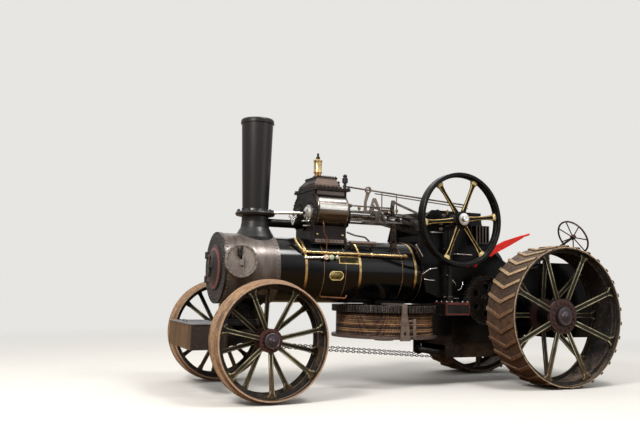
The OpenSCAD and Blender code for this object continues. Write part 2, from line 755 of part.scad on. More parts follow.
module drawbar() color("#2c2a2a") place() {
  difference() {
    box_at([-tender_back - 130, -70, 800], [-tender_back - seat, 70, 850]);
    translate([-tender_back - 75, 0, 790]) cylinder(r = 26, h = 70);
  }
}

rail_y = 216;

eye_x = 2815;
rod_x1 = 3240;
rod_x0 = 1000;
rod_rise = table_z + 100;
rod_fall = 0.0634;
bar_top = cyl_z + guide_half + seat;

frame_top = [2707, rod_rise - 142];

module regulator_rod() color("#3b3836") place() {
  rod([rod_x1, rail_y, rod_rise], [rod_x0, rail_y, rod_rise - (rod_x1 - rod_x0) * rod_fall], 13);
  rod([2700, rail_y, rod_rise - 72], [rod_x0, rail_y, rod_rise - 186], 9);
  translate([rod_x1 - 15, rail_y, table_z + 34 + seat]) cylinder(r = 12, h = 66);
  for (x = [2578, 2320]) translate([x, rail_y, bar_top])
    cylinder(r = 9, h = rod_rise - (rod_x1 - x) * rod_fall - bar_top);
  // eye on its curved post, and the splayed frame behind it
  translate([eye_x, rail_y, rod_rise - 27]) difference() {
    along_y(-16, 16, 52);
    along_y(-17, 17, 30);
  }
  side_plate(rail_y - 10, rail_y + 6) {
    polygon([[eye_x + 20, bar_top + 1], [eye_x + 70, bar_top + 1], [eye_x + 64, bar_top + 150],
      [eye_x + 32, rod_rise - 68], [eye_x - 32, rod_rise - 68], [eye_x + 24, bar_top + 140]]);
    polygon([[2580, bar_top + 1], [2620, bar_top + 1], [frame_top[0], frame_top[1] - 52],
      [2760, bar_top + 1], [2800, bar_top + 1], [frame_top[0] + 26, frame_top[1]],
      [frame_top[0] - 26, frame_top[1]]]);
  }
  box_at([2480, rail_y - 30, bar_top], [2560, rail_y + 30, bar_top + 52]);
  box_at([2555, rail_y - 14, bar_top], [2890, rail_y + 14, bar_top + 20]);
}

col_top = [-1087, 350, 2367];
col_dir = [0.866, 0, -0.5];

col_end = (fire_x0 - 60 - col_top[0]) / col_dir[0];
col_brace = (bunker_x - col_top[0]) / col_dir[0];

module steering_column() color("#2b2929") place() {
  rod(col_top + col_dir * 12, col_top + col_dir * col_end, 19);
  foot = col_top + col_dir * col_end;
  box_at([fire_x0 - 130, foot[1] - 60, foot[2] - 70], [fire_x0 - seat, foot[1] + 60, foot[2] + 80]);
  stay = col_top + col_dir * col_brace;
  box_at([bunker_x + seat, stay[1] - 14, bunker_z - 120], [bunker_x + 20, stay[1] + 14, stay[2]]);
}

module steering_wheel() color("#4a1f1c") place() translate(col_top) rotate([0, -60, 0]) {
  rotate_extrude() translate([300, 0]) circle(r = 15, $fn = 24);
  difference() {
    translate([0, 0, -25]) cylinder(r = 42, h = 60);
    translate([0, 0, -30]) cylinder(r = 19.3, h = 40);
  }
  for (i = [0 : 6]) rotate(i * 360 / 7) translate([30, -8, -6]) cube([262, 16, 12]);
}

module steering_chains() color("#3a3532") place() {
  mirror_y() rod([fire_x1 + 70, 360, 470 - 44 - 12 - 1], [wheelbase - 80, 420, 640], 12);
  translate([fire_x1 + 70, 0, 470]) along_y(-440, 440, 44);
  mirror_y() box_at([fire_x1 - 30, barrel_r - 29, 430], [fire_x1 + 110, barrel_r - 1, fire_low - seat]);
}

module reversing_lever() color("#b3261e") place() {
  side_plate(horn_out + 50, horn_out + 68) polygon([[812, 1960], [868, 1975], [800, 2100],
    [560, 2215], [180, 2330], [160, 2290], [520, 2110], [740, 2010]]);
  translate([832, 0, 2000]) along_y(horn_out + seat, horn_out + 76, 26);
  rod([172, horn_out + 59, 2310], [40, horn_out + 59, 2352], 17);
}

pipe_side = [432, 1926];

module boiler_fittings() color("#8d8578") place() {
  difference() {
    union() {
      for (x = [3622, 3540]) translate([x, 0, 1858]) along_y(barrel_r - 60, barrel_r + 40, 34);
      // clips of the side pipe
      for (x = [3850, 3200, 2350]) rod([x, pipe_side[0] - 40, pipe_side[1] - 24],
        [x, pipe_side[0], pipe_side[1]], 9);
      // clips of the shoulder pipe
      for (x = [3150, 2800]) rod([x, 372, 2090], [x, 290, 2036], 12);
    }
    translate([0, 0, boiler_z]) along_x(1000, 4200, barrel_r + seat);
  }
  rod([3940, pipe_side[0], pipe_side[1]], [2300, pipe_side[0] + 30, pipe_side[1] - 10], 12);
  translate([3940, pipe_side[0], pipe_side[1]]) sphere(r = 12.5);
  rod([4040, pipe_side[0] - 70, 2085], [3940, pipe_side[0], pipe_side[1]], 12);
  // pipe on the shoulder of the boiler
  rod([3190, 372, 2090], [2760, 372, 2090], 28);
  // lever bracket standing on the shoulder
  difference() {
    side_plate(350, 368) polygon([[2395, 1960], [2520, 1960], [2500, 2240], [2478, 2400],
      [2430, 2410], [2410, 2230]]);
    translate([2450, 340, 2350]) along_y(0, 40, 18);
    translate([2455, 340, 2120]) along_y(0, 40, 26);
    translate([0, 0, boiler_z]) along_x(1000, 4200, barrel_r + seat);
  }
  // lubricator on the cylinder table
  translate([3255, 90, table_z + 34 + seat]) {
    cylinder(r = 34, h = 18);
    cylinder(r = 14, h = 120);
    translate([0, 0, 60]) cylinder(r = 26, h = 44);
    translate([0, 0, 118]) cylinder(r = 22, h = 30);
    translate([0, 0, 40]) rotate([90, 0, 0]) translate([0, 0, -60]) cylinder(r = 9, h = 120);
  }
  // gauges and taps on the backhead
  translate([0, 120, 1985]) along_x(fire_x0 - 70, fire_x0 - seat, 20);
  translate([0, 120, 1985]) along_x(fire_x0 - 96, fire_x0 - 60, 84);
  for (z = [1700, 1990]) translate([0, -150, z]) along_x(fire_x0 - 60, fire_x0 - seat, 22);
  translate([fire_x0 - 46, -150, 1690]) cylinder(r = 12, h = 310);
  for (y = [-290, 260]) {
    translate([0, y, 1780]) along_x(fire_x0 - 110, fire_x0 - seat, 14);
    translate([0, y, 1780]) along_x(fire_x0 - 112, fire_x0 - 96, 44);
  }
}

// fore carriage

module front_axle() color("#211f1f") place() {
  inner = front_face - front_w - 6;
  difference() {
    union() {
      translate([wheelbase - 70, 0, front_r]) rotate([90, 0, 90]) linear_extrude(140) polygon([
        [-inner, -58], [-420, -96], [420, -96], [inner, -58], [inner, 58], [420, 78],
        [-420, 78], [-inner, 58]]);
      translate([wheelbase, 0, front_r - 96]) cylinder(r = 130, h = turn_z - front_r + 60);
      translate([wheelbase, 0, turn_z - 36]) cylinder(r = 240, h = 36);
      for (s = [-1, 1]) box_at([wheelbase + s * 150 - 12, -120, front_r],
        [wheelbase + s * 150 + 12, 120, turn_z - 30]);
    }
    translate([wheelbase, 0, 0]) cylinder(r = pivot_r + 1, h = 2000);
  }
  for (s = [-1, 1]) translate([wheelbase, 0, front_r])
    along_y(s > 0 ? 400 : -front_hub_out + 25, s > 0 ? front_hub_out - 25 : -400, front_axle_r);
  // arms of the tool box
  for (s = [-1, 1]) side_plate(s * 260 - 14, s * 260 + 14) polygon([[wheelbase + 60, 790],
    [wheelbase + 60, 670], [box_x0 - 80, 610], [box_x0 - seat, 610], [box_x0 - seat, 760]]);
  // eyes that take the steering chains
  for (s = [-1, 1]) translate([wheelbase - 92, s * 460, front_r]) {
    box_at([0, -16, -30], [24, 16, 30]);
    along_y(-16, 16, 30);
  }
}

lid_hinge = [box_x0 - 12, box_z - 6];

module tool_box() color("#6e5236") place() {
  difference() {
    box_at([box_x0, -box_w / 2, box_z - box_h], [box_x0 + box_len, box_w / 2, box_z - 10]);
    box_at([box_x0 + box_t, -box_w / 2 + box_t, box_z - box_h + box_t],
      [box_x0 + box_len - box_t, box_w / 2 - box_t, box_z]);
  }
  for (s = [-1, 1]) {
    translate([lid_hinge[0], s * 400, lid_hinge[1]]) along_y(-61, 61, 4);
    for (k = [-1, 1]) translate([lid_hinge[0], s * 400 + k * 55, lid_hinge[1]]) {
      along_y(-6, 6, 9);
      box_at([-9, -6, -60], [12, 6, 0]);
    }
  }
}

module tool_box_lid() color("#77787c") place() {
  box_at([box_x0 + 1, -box_w / 2 - 8, box_z - 10 + seat],
    [box_x0 + box_len + 7, box_w / 2 + 8, box_z]);
  for (s = [-1, 1]) box_at([box_x0 + box_len - 80, s * 90 - 8, box_z - 1],
    [box_x0 + box_len - 60, s * 90 + 8, box_z + 34]);
  box_at([box_x0 + box_len - 78, -89, box_z + 20], [box_x0 + box_len - 62, 89, box_z + 32]);
  for (s = [-1, 1]) translate([lid_hinge[0], s * 400, lid_hinge[1]]) difference() {
    union() {
      along_y(-48, 48, 9);
      box_at([0, -48, -3], [16, 48, 6]);
    }
    along_y(-60, 60, 4 + seat);
  }
}

// wheels

module rim_shell(r, w, t) {
  difference() {
    along_y(-w / 2, w / 2, r);
    along_y(-w / 2 - 1, w / 2 + 1, r - t);
  }
}

tee_in = 95;
tee_t = 16;
tee_h = 66;

// rim plate with edge beads and the two inner rings that take the spokes
module rim_body(r, w) {
  rim_shell(r, w, rim_t);
  for (y = [-w / 2, w / 2 - 24]) ring_at(y, 24, r - rim_t + 1, r - rim_t - 14);
  for (s = [-1, 1]) ring_at(s * (w / 2 - tee_in) - tee_t / 2, tee_t, r - rim_t + 1, r - rim_t - tee_h);
}

module ring_at(y, t, r_out, r_in) {
  difference() {
    along_y(y, y + t, r_out);
    along_y(y - 1, y + t + 1, r_in);
  }
}

strake_w = 50;
strake_lead = 130;

module rear_rim() {
  rim_body(rear_rim_r, rear_w);
  intersection() {
    ring_at(-rear_w / 2, rear_w, rear_r, rear_rim_r - 4);
    for (i = [0 : rear_strakes - 1]) rotate([0, i * 360 / rear_strakes, 0])
      translate([0, 0, rear_rim_r - 30]) linear_extrude(90) polygon([
        [-strake_w / 2, -rear_w / 2 - 9], [strake_w / 2, -rear_w / 2 - 9],
        [strake_lead + strake_w / 2, 0],
        [strake_w / 2, rear_w / 2 + 9], [-strake_w / 2, rear_w / 2 + 9],
        [strake_lead - strake_w / 2, 0]]);
  }
}

module front_rim() {
  rim_body(front_rim_r, front_w);
  ring_at(-32, 64, front_r, front_rim_r - 4);
}

// spokes and hub seen from the rim's middle, outer side +Y; hub_y is the cap's face
module spider(r_in, w, n, hub_r, cap_r, hub_y, bar_w, bar_t, bore) {
  tee_y = w / 2 - tee_in;
  y_flange = [-w / 2 + 34, hub_y - 62];
  foot_t = bar_t + 6;
  for (i = [0 : n - 1]) rotate([0, i * 360 / n, 0]) {
    k = i % 2;
    y_hub = y_flange[k];
    y_rim = (k == 0 ? -tee_y : tee_y) + tee_t / 2 + seat + foot_t / 2;
    run = r_in - tee_h - hub_r * 0.62 - 10;
    tilt = atan2(y_rim - y_hub, run);
    translate([0, y_hub, hub_r * 0.62]) rotate([-tilt, 0, 0])
      translate([-bar_w / 2, -bar_t / 2, 0]) cube([bar_w, bar_t, run / cos(tilt)]);
    // flared foot riveted to the ring in the rim
    translate([0, y_rim + foot_t / 2, 0]) rotate([90, 0, 0]) linear_extrude(foot_t)
      polygon([[-bar_w * 0.54, r_in - tee_h - 56], [bar_w * 0.54, r_in - tee_h - 56],
        [bar_w * 0.66, r_in - tee_h - 6], [bar_w * 1.05, r_in - tee_h + 8],
        [bar_w * 1.05, r_in - 12], [-bar_w * 1.05, r_in - 12],
        [-bar_w * 1.05, r_in - tee_h + 8], [-bar_w * 0.66, r_in - tee_h - 6]]);
  }
  difference() {
    union() {
      along_y(-w / 2, hub_y, cap_r);
      for (y = y_flange) along_y(y - 27, y + 27, hub_r);
    }
    along_y(-w, hub_y - 24, bore);
  }
}

module rear_spider() {
  spider(rear_rim_r - rim_t, rear_w, rear_spokes, 262, 144, rear_hub_out - rear_face + rear_w / 2,
    80, 20, rear_axle_r + seat);
}

module front_spider() {
  spider(front_rim_r - rim_t, front_w, front_spokes, 148, 88, front_hub_out - front_face + front_w / 2,
    58, 16, front_axle_r + seat);
}

module rear_left() {
  place() translate([0, rear_face - rear_w / 2, rear_r]) children();
}

module front_left() {
  place() translate([wheelbase, front_face - front_w / 2, front_r]) children();
}

module rear_left_rim() color("#5a4632") rear_left() rear_rim();

module rear_left_spokes() color("#2f2e24") rear_left() rear_spider();

module rear_right_rim() color("#5a4632") mirror([0, 1, 0]) rear_left() rear_rim();

module rear_right_spokes() color("#2f2e24") mirror([0, 1, 0]) rear_left() rear_spider();

module front_left_rim() color("#8a7048") front_left() front_rim();

module front_left_spokes() color("#2f2e24") front_left() front_spider();

module front_right_rim() color("#8a7048") mirror([0, 1, 0]) front_left() front_rim();

module front_right_spokes() color("#2f2e24") mirror([0, 1, 0]) front_left() front_spider();

module flywheel() color("#131314") place() translate([crank_x, 0, crank_z]) {
  rim_in = fly_r - 52;
  mid = fly_face - fly_w / 2;
  difference() {
    along_y(fly_face - fly_w, fly_face, fly_r);
    along_y(fly_face - fly_w - 1, fly_face + 1, rim_in);
  }
  difference() {
    union() {
      along_y(mid - 80, mid + 96, 92);
      along_y(mid - 34, mid + 34, 120);
    }
    along_y(mid - 90, mid + 100, 42 + seat);
  }
  difference() {
    union() {
      for (i = [0 : 5]) rotate([0, i * 60 + 3, 0]) side_plate(mid - 26, mid + 26) polygon([
        [-44, 90], [44, 90], [30, 300], [30, 470], [44, 560], [90, rim_in + 10],
        [-90, rim_in + 10], [-44, 560], [-30, 470], [-30, 300]]);
    }
    along_y(mid - 90, mid + 100, 60);
  }
}

boiler_barrel();
boiler_brass();
smokebox();
smokebox_side_cover();
smokebox_door();
chimney();
perch_bracket();
cylinder_block();
cylinder_cladding();
safety_valve();
exhaust_pipe();
slide_bars();
connecting_rods();
crankshaft();
hornplates();
firebox();
ashpan();
gear_train();
drum_shaft();
drum_bracket();
drum_gear();
drum_rope();
coiling_gear();
rear_axle();
tender();
regulator_rod();
steering_column();
steering_wheel();
steering_chains();
reversing_lever();
boiler_fittings();
firehole_door();
drawbar();
front_axle();
tool_box();
tool_box_lid();
flywheel();
rear_left_rim();
rear_left_spokes();
rear_right_rim();
rear_right_spokes();
front_left_rim();
front_left_spokes();
front_right_rim();
front_right_spokes();
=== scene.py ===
import bpy, bmesh, math
from mathutils import Matrix, Vector


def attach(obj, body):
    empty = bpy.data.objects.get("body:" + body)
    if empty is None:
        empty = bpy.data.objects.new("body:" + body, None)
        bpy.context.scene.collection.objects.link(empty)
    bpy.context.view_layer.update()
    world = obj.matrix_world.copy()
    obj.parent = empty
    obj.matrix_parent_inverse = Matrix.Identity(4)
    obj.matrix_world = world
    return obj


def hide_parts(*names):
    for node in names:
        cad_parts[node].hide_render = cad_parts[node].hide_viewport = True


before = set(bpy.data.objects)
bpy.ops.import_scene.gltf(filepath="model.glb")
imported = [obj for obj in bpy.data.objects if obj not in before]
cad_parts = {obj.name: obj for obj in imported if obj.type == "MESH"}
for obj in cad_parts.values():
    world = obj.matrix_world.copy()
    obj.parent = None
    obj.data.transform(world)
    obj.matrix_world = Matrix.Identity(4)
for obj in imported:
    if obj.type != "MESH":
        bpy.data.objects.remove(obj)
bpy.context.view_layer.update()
midX = 2.065  # the frame's origin lies this far ahead of the rear axle
front, left, up = Vector((1, 0, 0)), Vector((0, 1, 0)), Vector((0, 0, 1))


def at(x, y, z):  # a place measured from the middle of the rear axle, on the ground
    return Vector((x - midX, y, z))


def tone(r, g, b):  # a screen colour, 0-255, as the shader wants it
    shares = (r / 255, g / 255, b / 255)
    return tuple(c / 12.92 if c <= .04045 else ((c + .055) / 1.055) ** 2.4 for c in shares) + (1,)


# the photograph's own standpoint
view = {"place": (5.711, 9.434, 1.4115), "yaw": .425, "pitch": .1081, "roll": .0183, "lens": 39.377}


def placed(name, data):  # an object for it, in the scene
    thing = bpy.data.objects.new(name, data)
    bpy.context.collection.objects.link(thing)
    return thing


def placeCamera():
    yaw, pitch, roll = view["yaw"], view["pitch"], view["roll"]
    ahead = Vector((-math.sin(yaw) * math.cos(pitch), -math.cos(yaw) * math.cos(pitch), math.sin(pitch)))
    right = ahead.cross(up).normalized()
    high = right.cross(ahead)
    side = right * math.cos(roll) + high * math.sin(roll)
    top = high * math.cos(roll) - right * math.sin(roll)
    cam = placed("camera", bpy.data.cameras.new("camera"))
    cam.data.lens, cam.data.sensor_width, cam.data.clip_end = view["lens"], 36, 200
    cam.matrix_world = Matrix.Translation(view["place"]) @ Matrix((side, top, -ahead)).transposed().to_4x4()
    bpy.context.scene.camera = cam


placeCamera()
print("camera placed")


# small helpers for the node trees
def cleared(holder):  # the node tree of a material or a sky, emptied
    holder.use_nodes = True
    holder.node_tree.nodes.clear()
    return holder.node_tree


def put(tree, kind, sockets=None, **props):
    node = tree.nodes.new(kind)
    for key, value in props.items():
        setattr(node, key, value)
    for key, value in (sockets or {}).items():
        if isinstance(value, bpy.types.NodeSocket):
            tree.links.new(value, node.inputs[key])
        else:
            node.inputs[key].default_value = value
    return node


def mixTone(tree, factor, a, b, how="MIX"):
    return put(tree, "ShaderNodeMix", {0: factor, 6: a, 7: b}, data_type="RGBA", blend_type=how).outputs[2]


def ramp(tree, value, low, high, start=0.0, end=1.0):
    return put(tree, "ShaderNodeMapRange", {0: value, 1: low, 2: high, 3: start, 4: end}).outputs[0]


def maths(tree, how, *values, clamp=False):
    return put(tree, "ShaderNodeMath", dict(enumerate(values)), operation=how, use_clamp=clamp).outputs[0]


def times(tree, a, b):
    return maths(tree, "MULTIPLY", a, b, clamp=True)


def vectors(tree, how, *values):
    return put(tree, "ShaderNodeVectorMath", dict(enumerate(values)), operation=how).outputs[0]


def part(tree, vector, axis):
    return put(tree, "ShaderNodeSeparateXYZ", {0: vector}).outputs[axis]


def noise(tree, where, size, detail=6, rough=.6):
    return put(tree, "ShaderNodeTexNoise", {"Vector": where, "Scale": size, "Detail": detail,
                                            "Roughness": rough}).outputs[0]


def distance(tree, where, centre, axis):  # how far from an axis through a point
    flat = tuple(0 if i == axis else 1 for i in range(3))
    moved = put(tree, "ShaderNodeMapping", {"Vector": where, "Location": tuple(-c * f for c, f in zip(centre, flat)),
                                            "Scale": flat}).outputs[0]
    return put(tree, "ShaderNodeVectorMath", {0: moved}, operation="LENGTH").outputs["Value"]


def within(tree, value, low, high, soft):  # 1 between two values, fading out at each
    return times(tree, ramp(tree, value, low - soft, low + soft), ramp(tree, value, high + soft, high - soft))


# where a mark lies on a piece: each of these gives 1 inside and 0 outside
def ringMark(tree, where, shape, inner, outer, centre, axis):
    return within(tree, distance(tree, where, centre, axis), inner, outer, .003)


def bandMark(tree, where, shape, axis, low, high):
    return within(tree, part(tree, where, axis), low, high, .002)


def boxMark(tree, where, shape, low, high):
    middle, half = (at(*low) + at(*high)) / 2, (Vector(high) - Vector(low)) / 2
    size = vectors(tree, "ABSOLUTE", vectors(tree, "SUBTRACT", where, tuple(middle)))
    x, y, z = put(tree, "ShaderNodeSeparateXYZ", {0: vectors(tree, "SUBTRACT", size, tuple(half))}).outputs
    return ramp(tree, maths(tree, "MAXIMUM", maths(tree, "MAXIMUM", x, y), z), .004, -.002)


def facingMark(tree, where, shape, axis, start, full):
    return ramp(tree, part(tree, shape, axis), start, full)


def riseMark(tree, where, shape, axis, start, full):  # fades in along an axis
    return ramp(tree, part(tree, where, axis), start, full)


def cloudMark(tree, where, shape, size, start, full):
    return ramp(tree, noise(tree, where, size, 7, .65), start, full)


# the rope on the drum: foot and pitch of its turns, their tones, the tone of the painted shade where two turns meet,
# and the stretch along the drum over which they turn paler as painted light
coils = {"foot": .757, "pitch": .02577, "dark": (58, 36, 28), "middle": (100, 68, 52), "pale": (196, 150, 104),
         "gap": (26, 18, 14), "paintedLitSide": (2.3, 2.1)}


def coilTone(tree, where):  # each turn of the winding in its own tone, with painted shade where two turns meet and painted light on the drum's rear side
    count = put(tree, "ShaderNodeMapRange", {0: part(tree, where, 2), 1: coils["foot"],
                                             2: coils["foot"] + coils["pitch"], 3: 0.0, 4: 1.0}, clamp=False).outputs[0]
    chance = put(tree, "ShaderNodeTexWhiteNoise", {"W": maths(tree, "FLOOR", count)}, noise_dimensions="1D").outputs[0]
    # painted light: the rope is painted paler on the drum's rear side, as if lit there
    paintedLitSide = ramp(tree, part(tree, where, 0), *[x - midX for x in coils["paintedLitSide"]], -.12, .3)
    patches = ramp(tree, noise(tree, where, 3.5, 6), .3, .7, -.3, .3)
    patchesAndLitSide = maths(tree, "ADD", maths(tree, "ADD", chance, paintedLitSide), patches)
    offMiddle = maths(tree, "ABSOLUTE", maths(tree, "SUBTRACT", maths(tree, "FRACT", count), .5))
    colour = mixTone(tree, ramp(tree, patchesAndLitSide, .15, .55), tone(*coils["dark"]), tone(*coils["middle"]))
    colour = mixTone(tree, ramp(tree, patchesAndLitSide, .5, 1.0), colour, tone(*coils["pale"]))
    # painted shade where two turns meet
    return mixTone(tree, ramp(tree, offMiddle, .3, .47), colour, tone(*coils["gap"]))


# how far the patches, the grain, dust, splashes and rubbed edges reach into the noise that makes them, and the tone of
# the painted shade between a rope's strands
wear = {"markFade": (.28, .5, .75, 1), "grain": (.3, .7, .55, 1.35), "grainShare": .55, "spotSize": 4.3,
        "dustSlope": (.55, .95), "dustCloud": (.35, .62), "splash": (.36, .6), "edgeBend": (.96, .78),
        "edgeCloud": (.38, .62), "strandGapShade": (30, 22, 16)}


def finish(name, base, worn, patch=.45, size=2.2, rough=(.38, .62), metal=0.0, coat=0.0, gloss=.5, grain=45, bump=.12,
           deep=.004, streak=(1, 1, 1), dirt=None, dirtTop=.9, spot=None, spots=.4, marks=(), edge=None, edgeWide=.006,
           dust=None, dustMuch=.35, strand=None, wound=False):
    # base tone and worn patches, then marks (some of them painted light and shade), speckle, rust, dust on top faces,
    # dirt from the ground, worn edges that are also painted edge highlights, painted shade between rope strands
    mat = bpy.data.materials.new(name)
    tree = cleared(mat)
    where = put(tree, "ShaderNodeTexCoord").outputs["Object"]
    shape = put(tree, "ShaderNodeNewGeometry").outputs["Normal"]
    drawn = put(tree, "ShaderNodeMapping", {"Vector": where, "Scale": streak}).outputs[0]
    cloud = noise(tree, drawn, size, 8)
    limit = .72 - .42 * patch
    colour = mixTone(tree, ramp(tree, cloud, limit - .08, limit + .1), tone(*base), tone(*worn))
    if wound:
        colour = coilTone(tree, where)
    for markTone, *masks in marks:
        share = ramp(tree, cloud, *wear["markFade"])
        for kind, *sizes in masks:
            share = times(tree, share, kind(tree, where, shape, *sizes))
        colour = mixTone(tree, share, colour, tone(*markTone))
    speck = noise(tree, drawn, grain, 4, .7)
    grey = ramp(tree, speck, *wear["grain"])
    speckled = put(tree, "ShaderNodeCombineColor", {0: grey, 1: grey, 2: grey}).outputs[0]
    colour = mixTone(tree, wear["grainShare"], colour, speckled, "MULTIPLY")
    if spot:
        pits = noise(tree, where, size * wear["spotSize"], 7, .7)
        colour = mixTone(tree, ramp(tree, pits, .68 - .3 * spots, .76 - .3 * spots), colour, tone(*spot))
    if dust:
        lying = times(tree, ramp(tree, part(tree, shape, 2), *wear["dustSlope"]),
                      ramp(tree, noise(tree, where, 7, 8, .7), *wear["dustCloud"]))
        colour = mixTone(tree, times(tree, lying, dustMuch), colour, tone(*dust))
    if dirt:
        low = ramp(tree, part(tree, where, 2), dirtTop, dirtTop * .25)
        splash = ramp(tree, noise(tree, where, 5.5, 9, .68), *wear["splash"])
        colour = mixTone(tree, times(tree, low, splash), colour, tone(*dirt))
    if edge:  # paint or oil rubbed off where the surface turns sharply; where the edge tone is paler it is also a painted highlight on the edge
        turned = put(tree, "ShaderNodeBevel", {"Radius": edgeWide}, samples=4).outputs[0]
        bent = put(tree, "ShaderNodeVectorMath", {0: turned, 1: shape}, operation="DOT_PRODUCT").outputs["Value"]
        rubbedAndHighlit = times(tree, ramp(tree, bent, *wear["edgeBend"]),
                       ramp(tree, noise(tree, where, 16, 5), *wear["edgeCloud"]))
        colour = mixTone(tree, rubbedAndHighlit, colour, tone(*edge))
    uneven = maths(tree, "ADD", speck, times(tree, cloud, 1.0))
    if strand:
        wave = put(tree, "ShaderNodeTexWave", {"Vector": where, "Scale": strand, "Distortion": .4},
                   bands_direction="DIAGONAL").outputs[1]
        uneven = maths(tree, "ADD", uneven, wave)
        # painted shade in the gaps between the rope's strands
        colour = mixTone(tree, ramp(tree, wave, 0, 1, .2, 0), colour, tone(*wear["strandGapShade"]))
    shade = put(tree, "ShaderNodeBsdfPrincipled", {
        "Base Color": colour, "Roughness": ramp(tree, cloud, .3, .7, *rough), "Metallic": metal,
        "Coat Weight": coat, "Coat Roughness": .12, "Specular IOR Level": gloss})
    bumps = put(tree, "ShaderNodeBump", {"Strength": bump * 3, "Distance": deep, "Height": uneven})
    tree.links.new(bumps.outputs[0], shade.inputs["Normal"])
    tree.links.new(shade.outputs[0], put(tree, "ShaderNodeOutputMaterial").inputs[0])
    return mat


def round_(x, z, inner, outer):  # a ring mark about a cross axis
    return ringMark, inner, outer, (x - midX, 0, z), 1


def onRear(inner, outer):
    return round_(0, 1.067, inner, outer)


def onFront(inner, outer):
    return round_(4.683, .762, inner, outer)


def bothFaces(face, markTone, ring):  # a mark on the outer faces of both wheels of an axle, and on their inner faces
    return [(markTone, (bandMark, 1, y - .006, y + .006), ring) for y in (face, -face)]


blackPaint = finish(
    "oilyBlackPaint", (6, 6, 7), (14, 12, 11), rough=(.22, .42), coat=.05, gloss=.13, patch=.35, size=1.6,
    dirt=(60, 47, 36), edge=(62, 55, 49), dust=(66, 55, 45), dustMuch=.18,
    marks=[((96, 86, 82), (boxMark, (.86, .494, 2.16), (1.13, .61, 2.44)), (facingMark, 1, .3, .8))])
frameIron = finish("oilyFrameIron", (11, 10, 10), (21, 18, 16), rough=(.34, .58), gloss=.18, patch=.5,
                   spot=(48, 34, 26), spots=.15, dirt=(84, 66, 48), dirtTop=.85, edge=(80, 70, 60), dust=(84, 70, 54))
lagging = finish("laggingSheet", (5, 5, 6), (9, 9, 9), rough=(.12, .24), coat=.28, gloss=.2, patch=.3, size=1.2,
                 bump=.04, streak=(.5, 1, 1), edge=(60, 55, 51))
ashGrey = finish("smokeboxHeatGrey", (118, 108, 102), (86, 77, 71), rough=(.22, .36), gloss=.6, patch=.5, size=3.2,
                 streak=(2.6, .5, .5), spot=(60, 50, 44), spots=.12, bump=.1, metal=.35,
                 # painted shade: a dark band round the shell beside the front plate, for the groove between the ring
                 # and the shell
                 marks=[((44, 40, 40), (bandMark, 0, 5.057 - midX, 5.09 - midX))])
coverGrey = finish("sideCoverAshGrey", (138, 130, 124), (108, 99, 94), rough=(.46, .64), size=7, streak=(1, 1, .5),
                   spot=(104, 88, 80), spots=.25, bump=.2, edge=(190, 178, 168),
                   marks=[((108, 96, 90), round_(4.878, 1.768, .188, .202))])
doorBrown = finish("doorHeatBrown", (46, 38, 37), (31, 26, 25), rough=(.3, .5), coat=.2, edge=(140, 112, 102),
                   marks=[((116, 60, 62), (ringMark, .245, .29, (0, 0, 1.68), 0))])
stackBlack = finish("chimneySatinBlack", (31, 27, 28), (22, 20, 20), rough=(.26, .38), patch=.4, size=1.5,
                    streak=(1, 1, .4), bump=.04, edge=(80, 73, 68), dust=(92, 82, 74))
blockIron = finish("cylinderOilyIron", (27, 21, 21), (16, 13, 13), rough=(.3, .5), gloss=.28, patch=.5, size=4,
                   spot=(58, 42, 33), spots=.15, bump=.25, edge=(112, 97, 86), dust=(110, 92, 78), dustMuch=.6,
                   # painted light: the chest's sloping near side, turned up towards the sky, is painted paler
                   marks=[((106, 88, 78), (boxMark, (3.3, 0, 2.884), (3.75, .36, 3.03)), (facingMark, 1, .35, .6))])
# painted reflections of the sky and the ground, as bands of light and dark round the cladding: tone, low, high
claddingReflectionBands = (((112, 98, 90), 2.775, 2.84), ((66, 58, 54), 2.73, 2.775), ((214, 208, 202), 2.67, 2.72),
                 ((84, 76, 72), 2.637, 2.665), ((244, 240, 234), 2.545, 2.61), ((140, 128, 118), 2.48, 2.545),
                 ((78, 68, 62), 2.42, 2.48), ((36, 30, 27), 2.2, 2.42))
cladSteel = finish("claddingSteelPaintedReflections", (176, 170, 164), (112, 100, 90), metal=.95, rough=(.16, .3), patch=.3,
                   size=3, streak=(.3, 1, 1.5), spot=(84, 60, 42), spots=.1, bump=.03,
                   marks=[(reflectionTone, (bandMark, 2, low, high)) for reflectionTone, low, high in claddingReflectionBands])
rubbedBrass = finish("rubbedBrass", (226, 198, 142), (168, 126, 78), metal=.95, rough=(.18, .34), patch=.35, size=9,
                     bump=.05, spot=(92, 64, 34), spots=.12,
                     # painted shade: the brass darker towards the bottom, where it faces the ground
                     marks=[((66, 50, 28), (riseMark, 2, 1.56, 1.42)),
                            # painted shadow of the rail on the boiler bands below it
                            ((46, 44, 30), (boxMark, (3.084, .40, 1.789), (3.386, .50, 1.871))),
                            ((22, 20, 19), (boxMark, (3.45, -.1, 3.343), (3.66, .1, 3.45)))])
brightSteel = finish("oiledBrightSteel", (128, 120, 112), (60, 52, 46), metal=.9, rough=(.18, .36), size=8,
                     spot=(34, 28, 24), spots=.42, bump=.06)
silver = finish("polishedSilverSteel", (232, 230, 226), (186, 180, 172), metal=.85, rough=(.16, .3), patch=.3, size=10,
                bump=.03)
greyIron = finish("wornGreyIron", (126, 113, 105), (88, 77, 70), metal=.3, rough=(.38, .6), size=6, spot=(104, 72, 48),
                  spots=.2, edge=(156, 146, 136))
greasyTeeth = finish("greasyTeethIron", (32, 28, 26), (16, 14, 13), metal=.5, rough=(.3, .5), size=9, patch=.5,
                     bump=.2, edge=(184, 176, 166), edgeWide=.005, marks=[((13, 11, 11), round_(1.02, 1.29, .05, .33))])
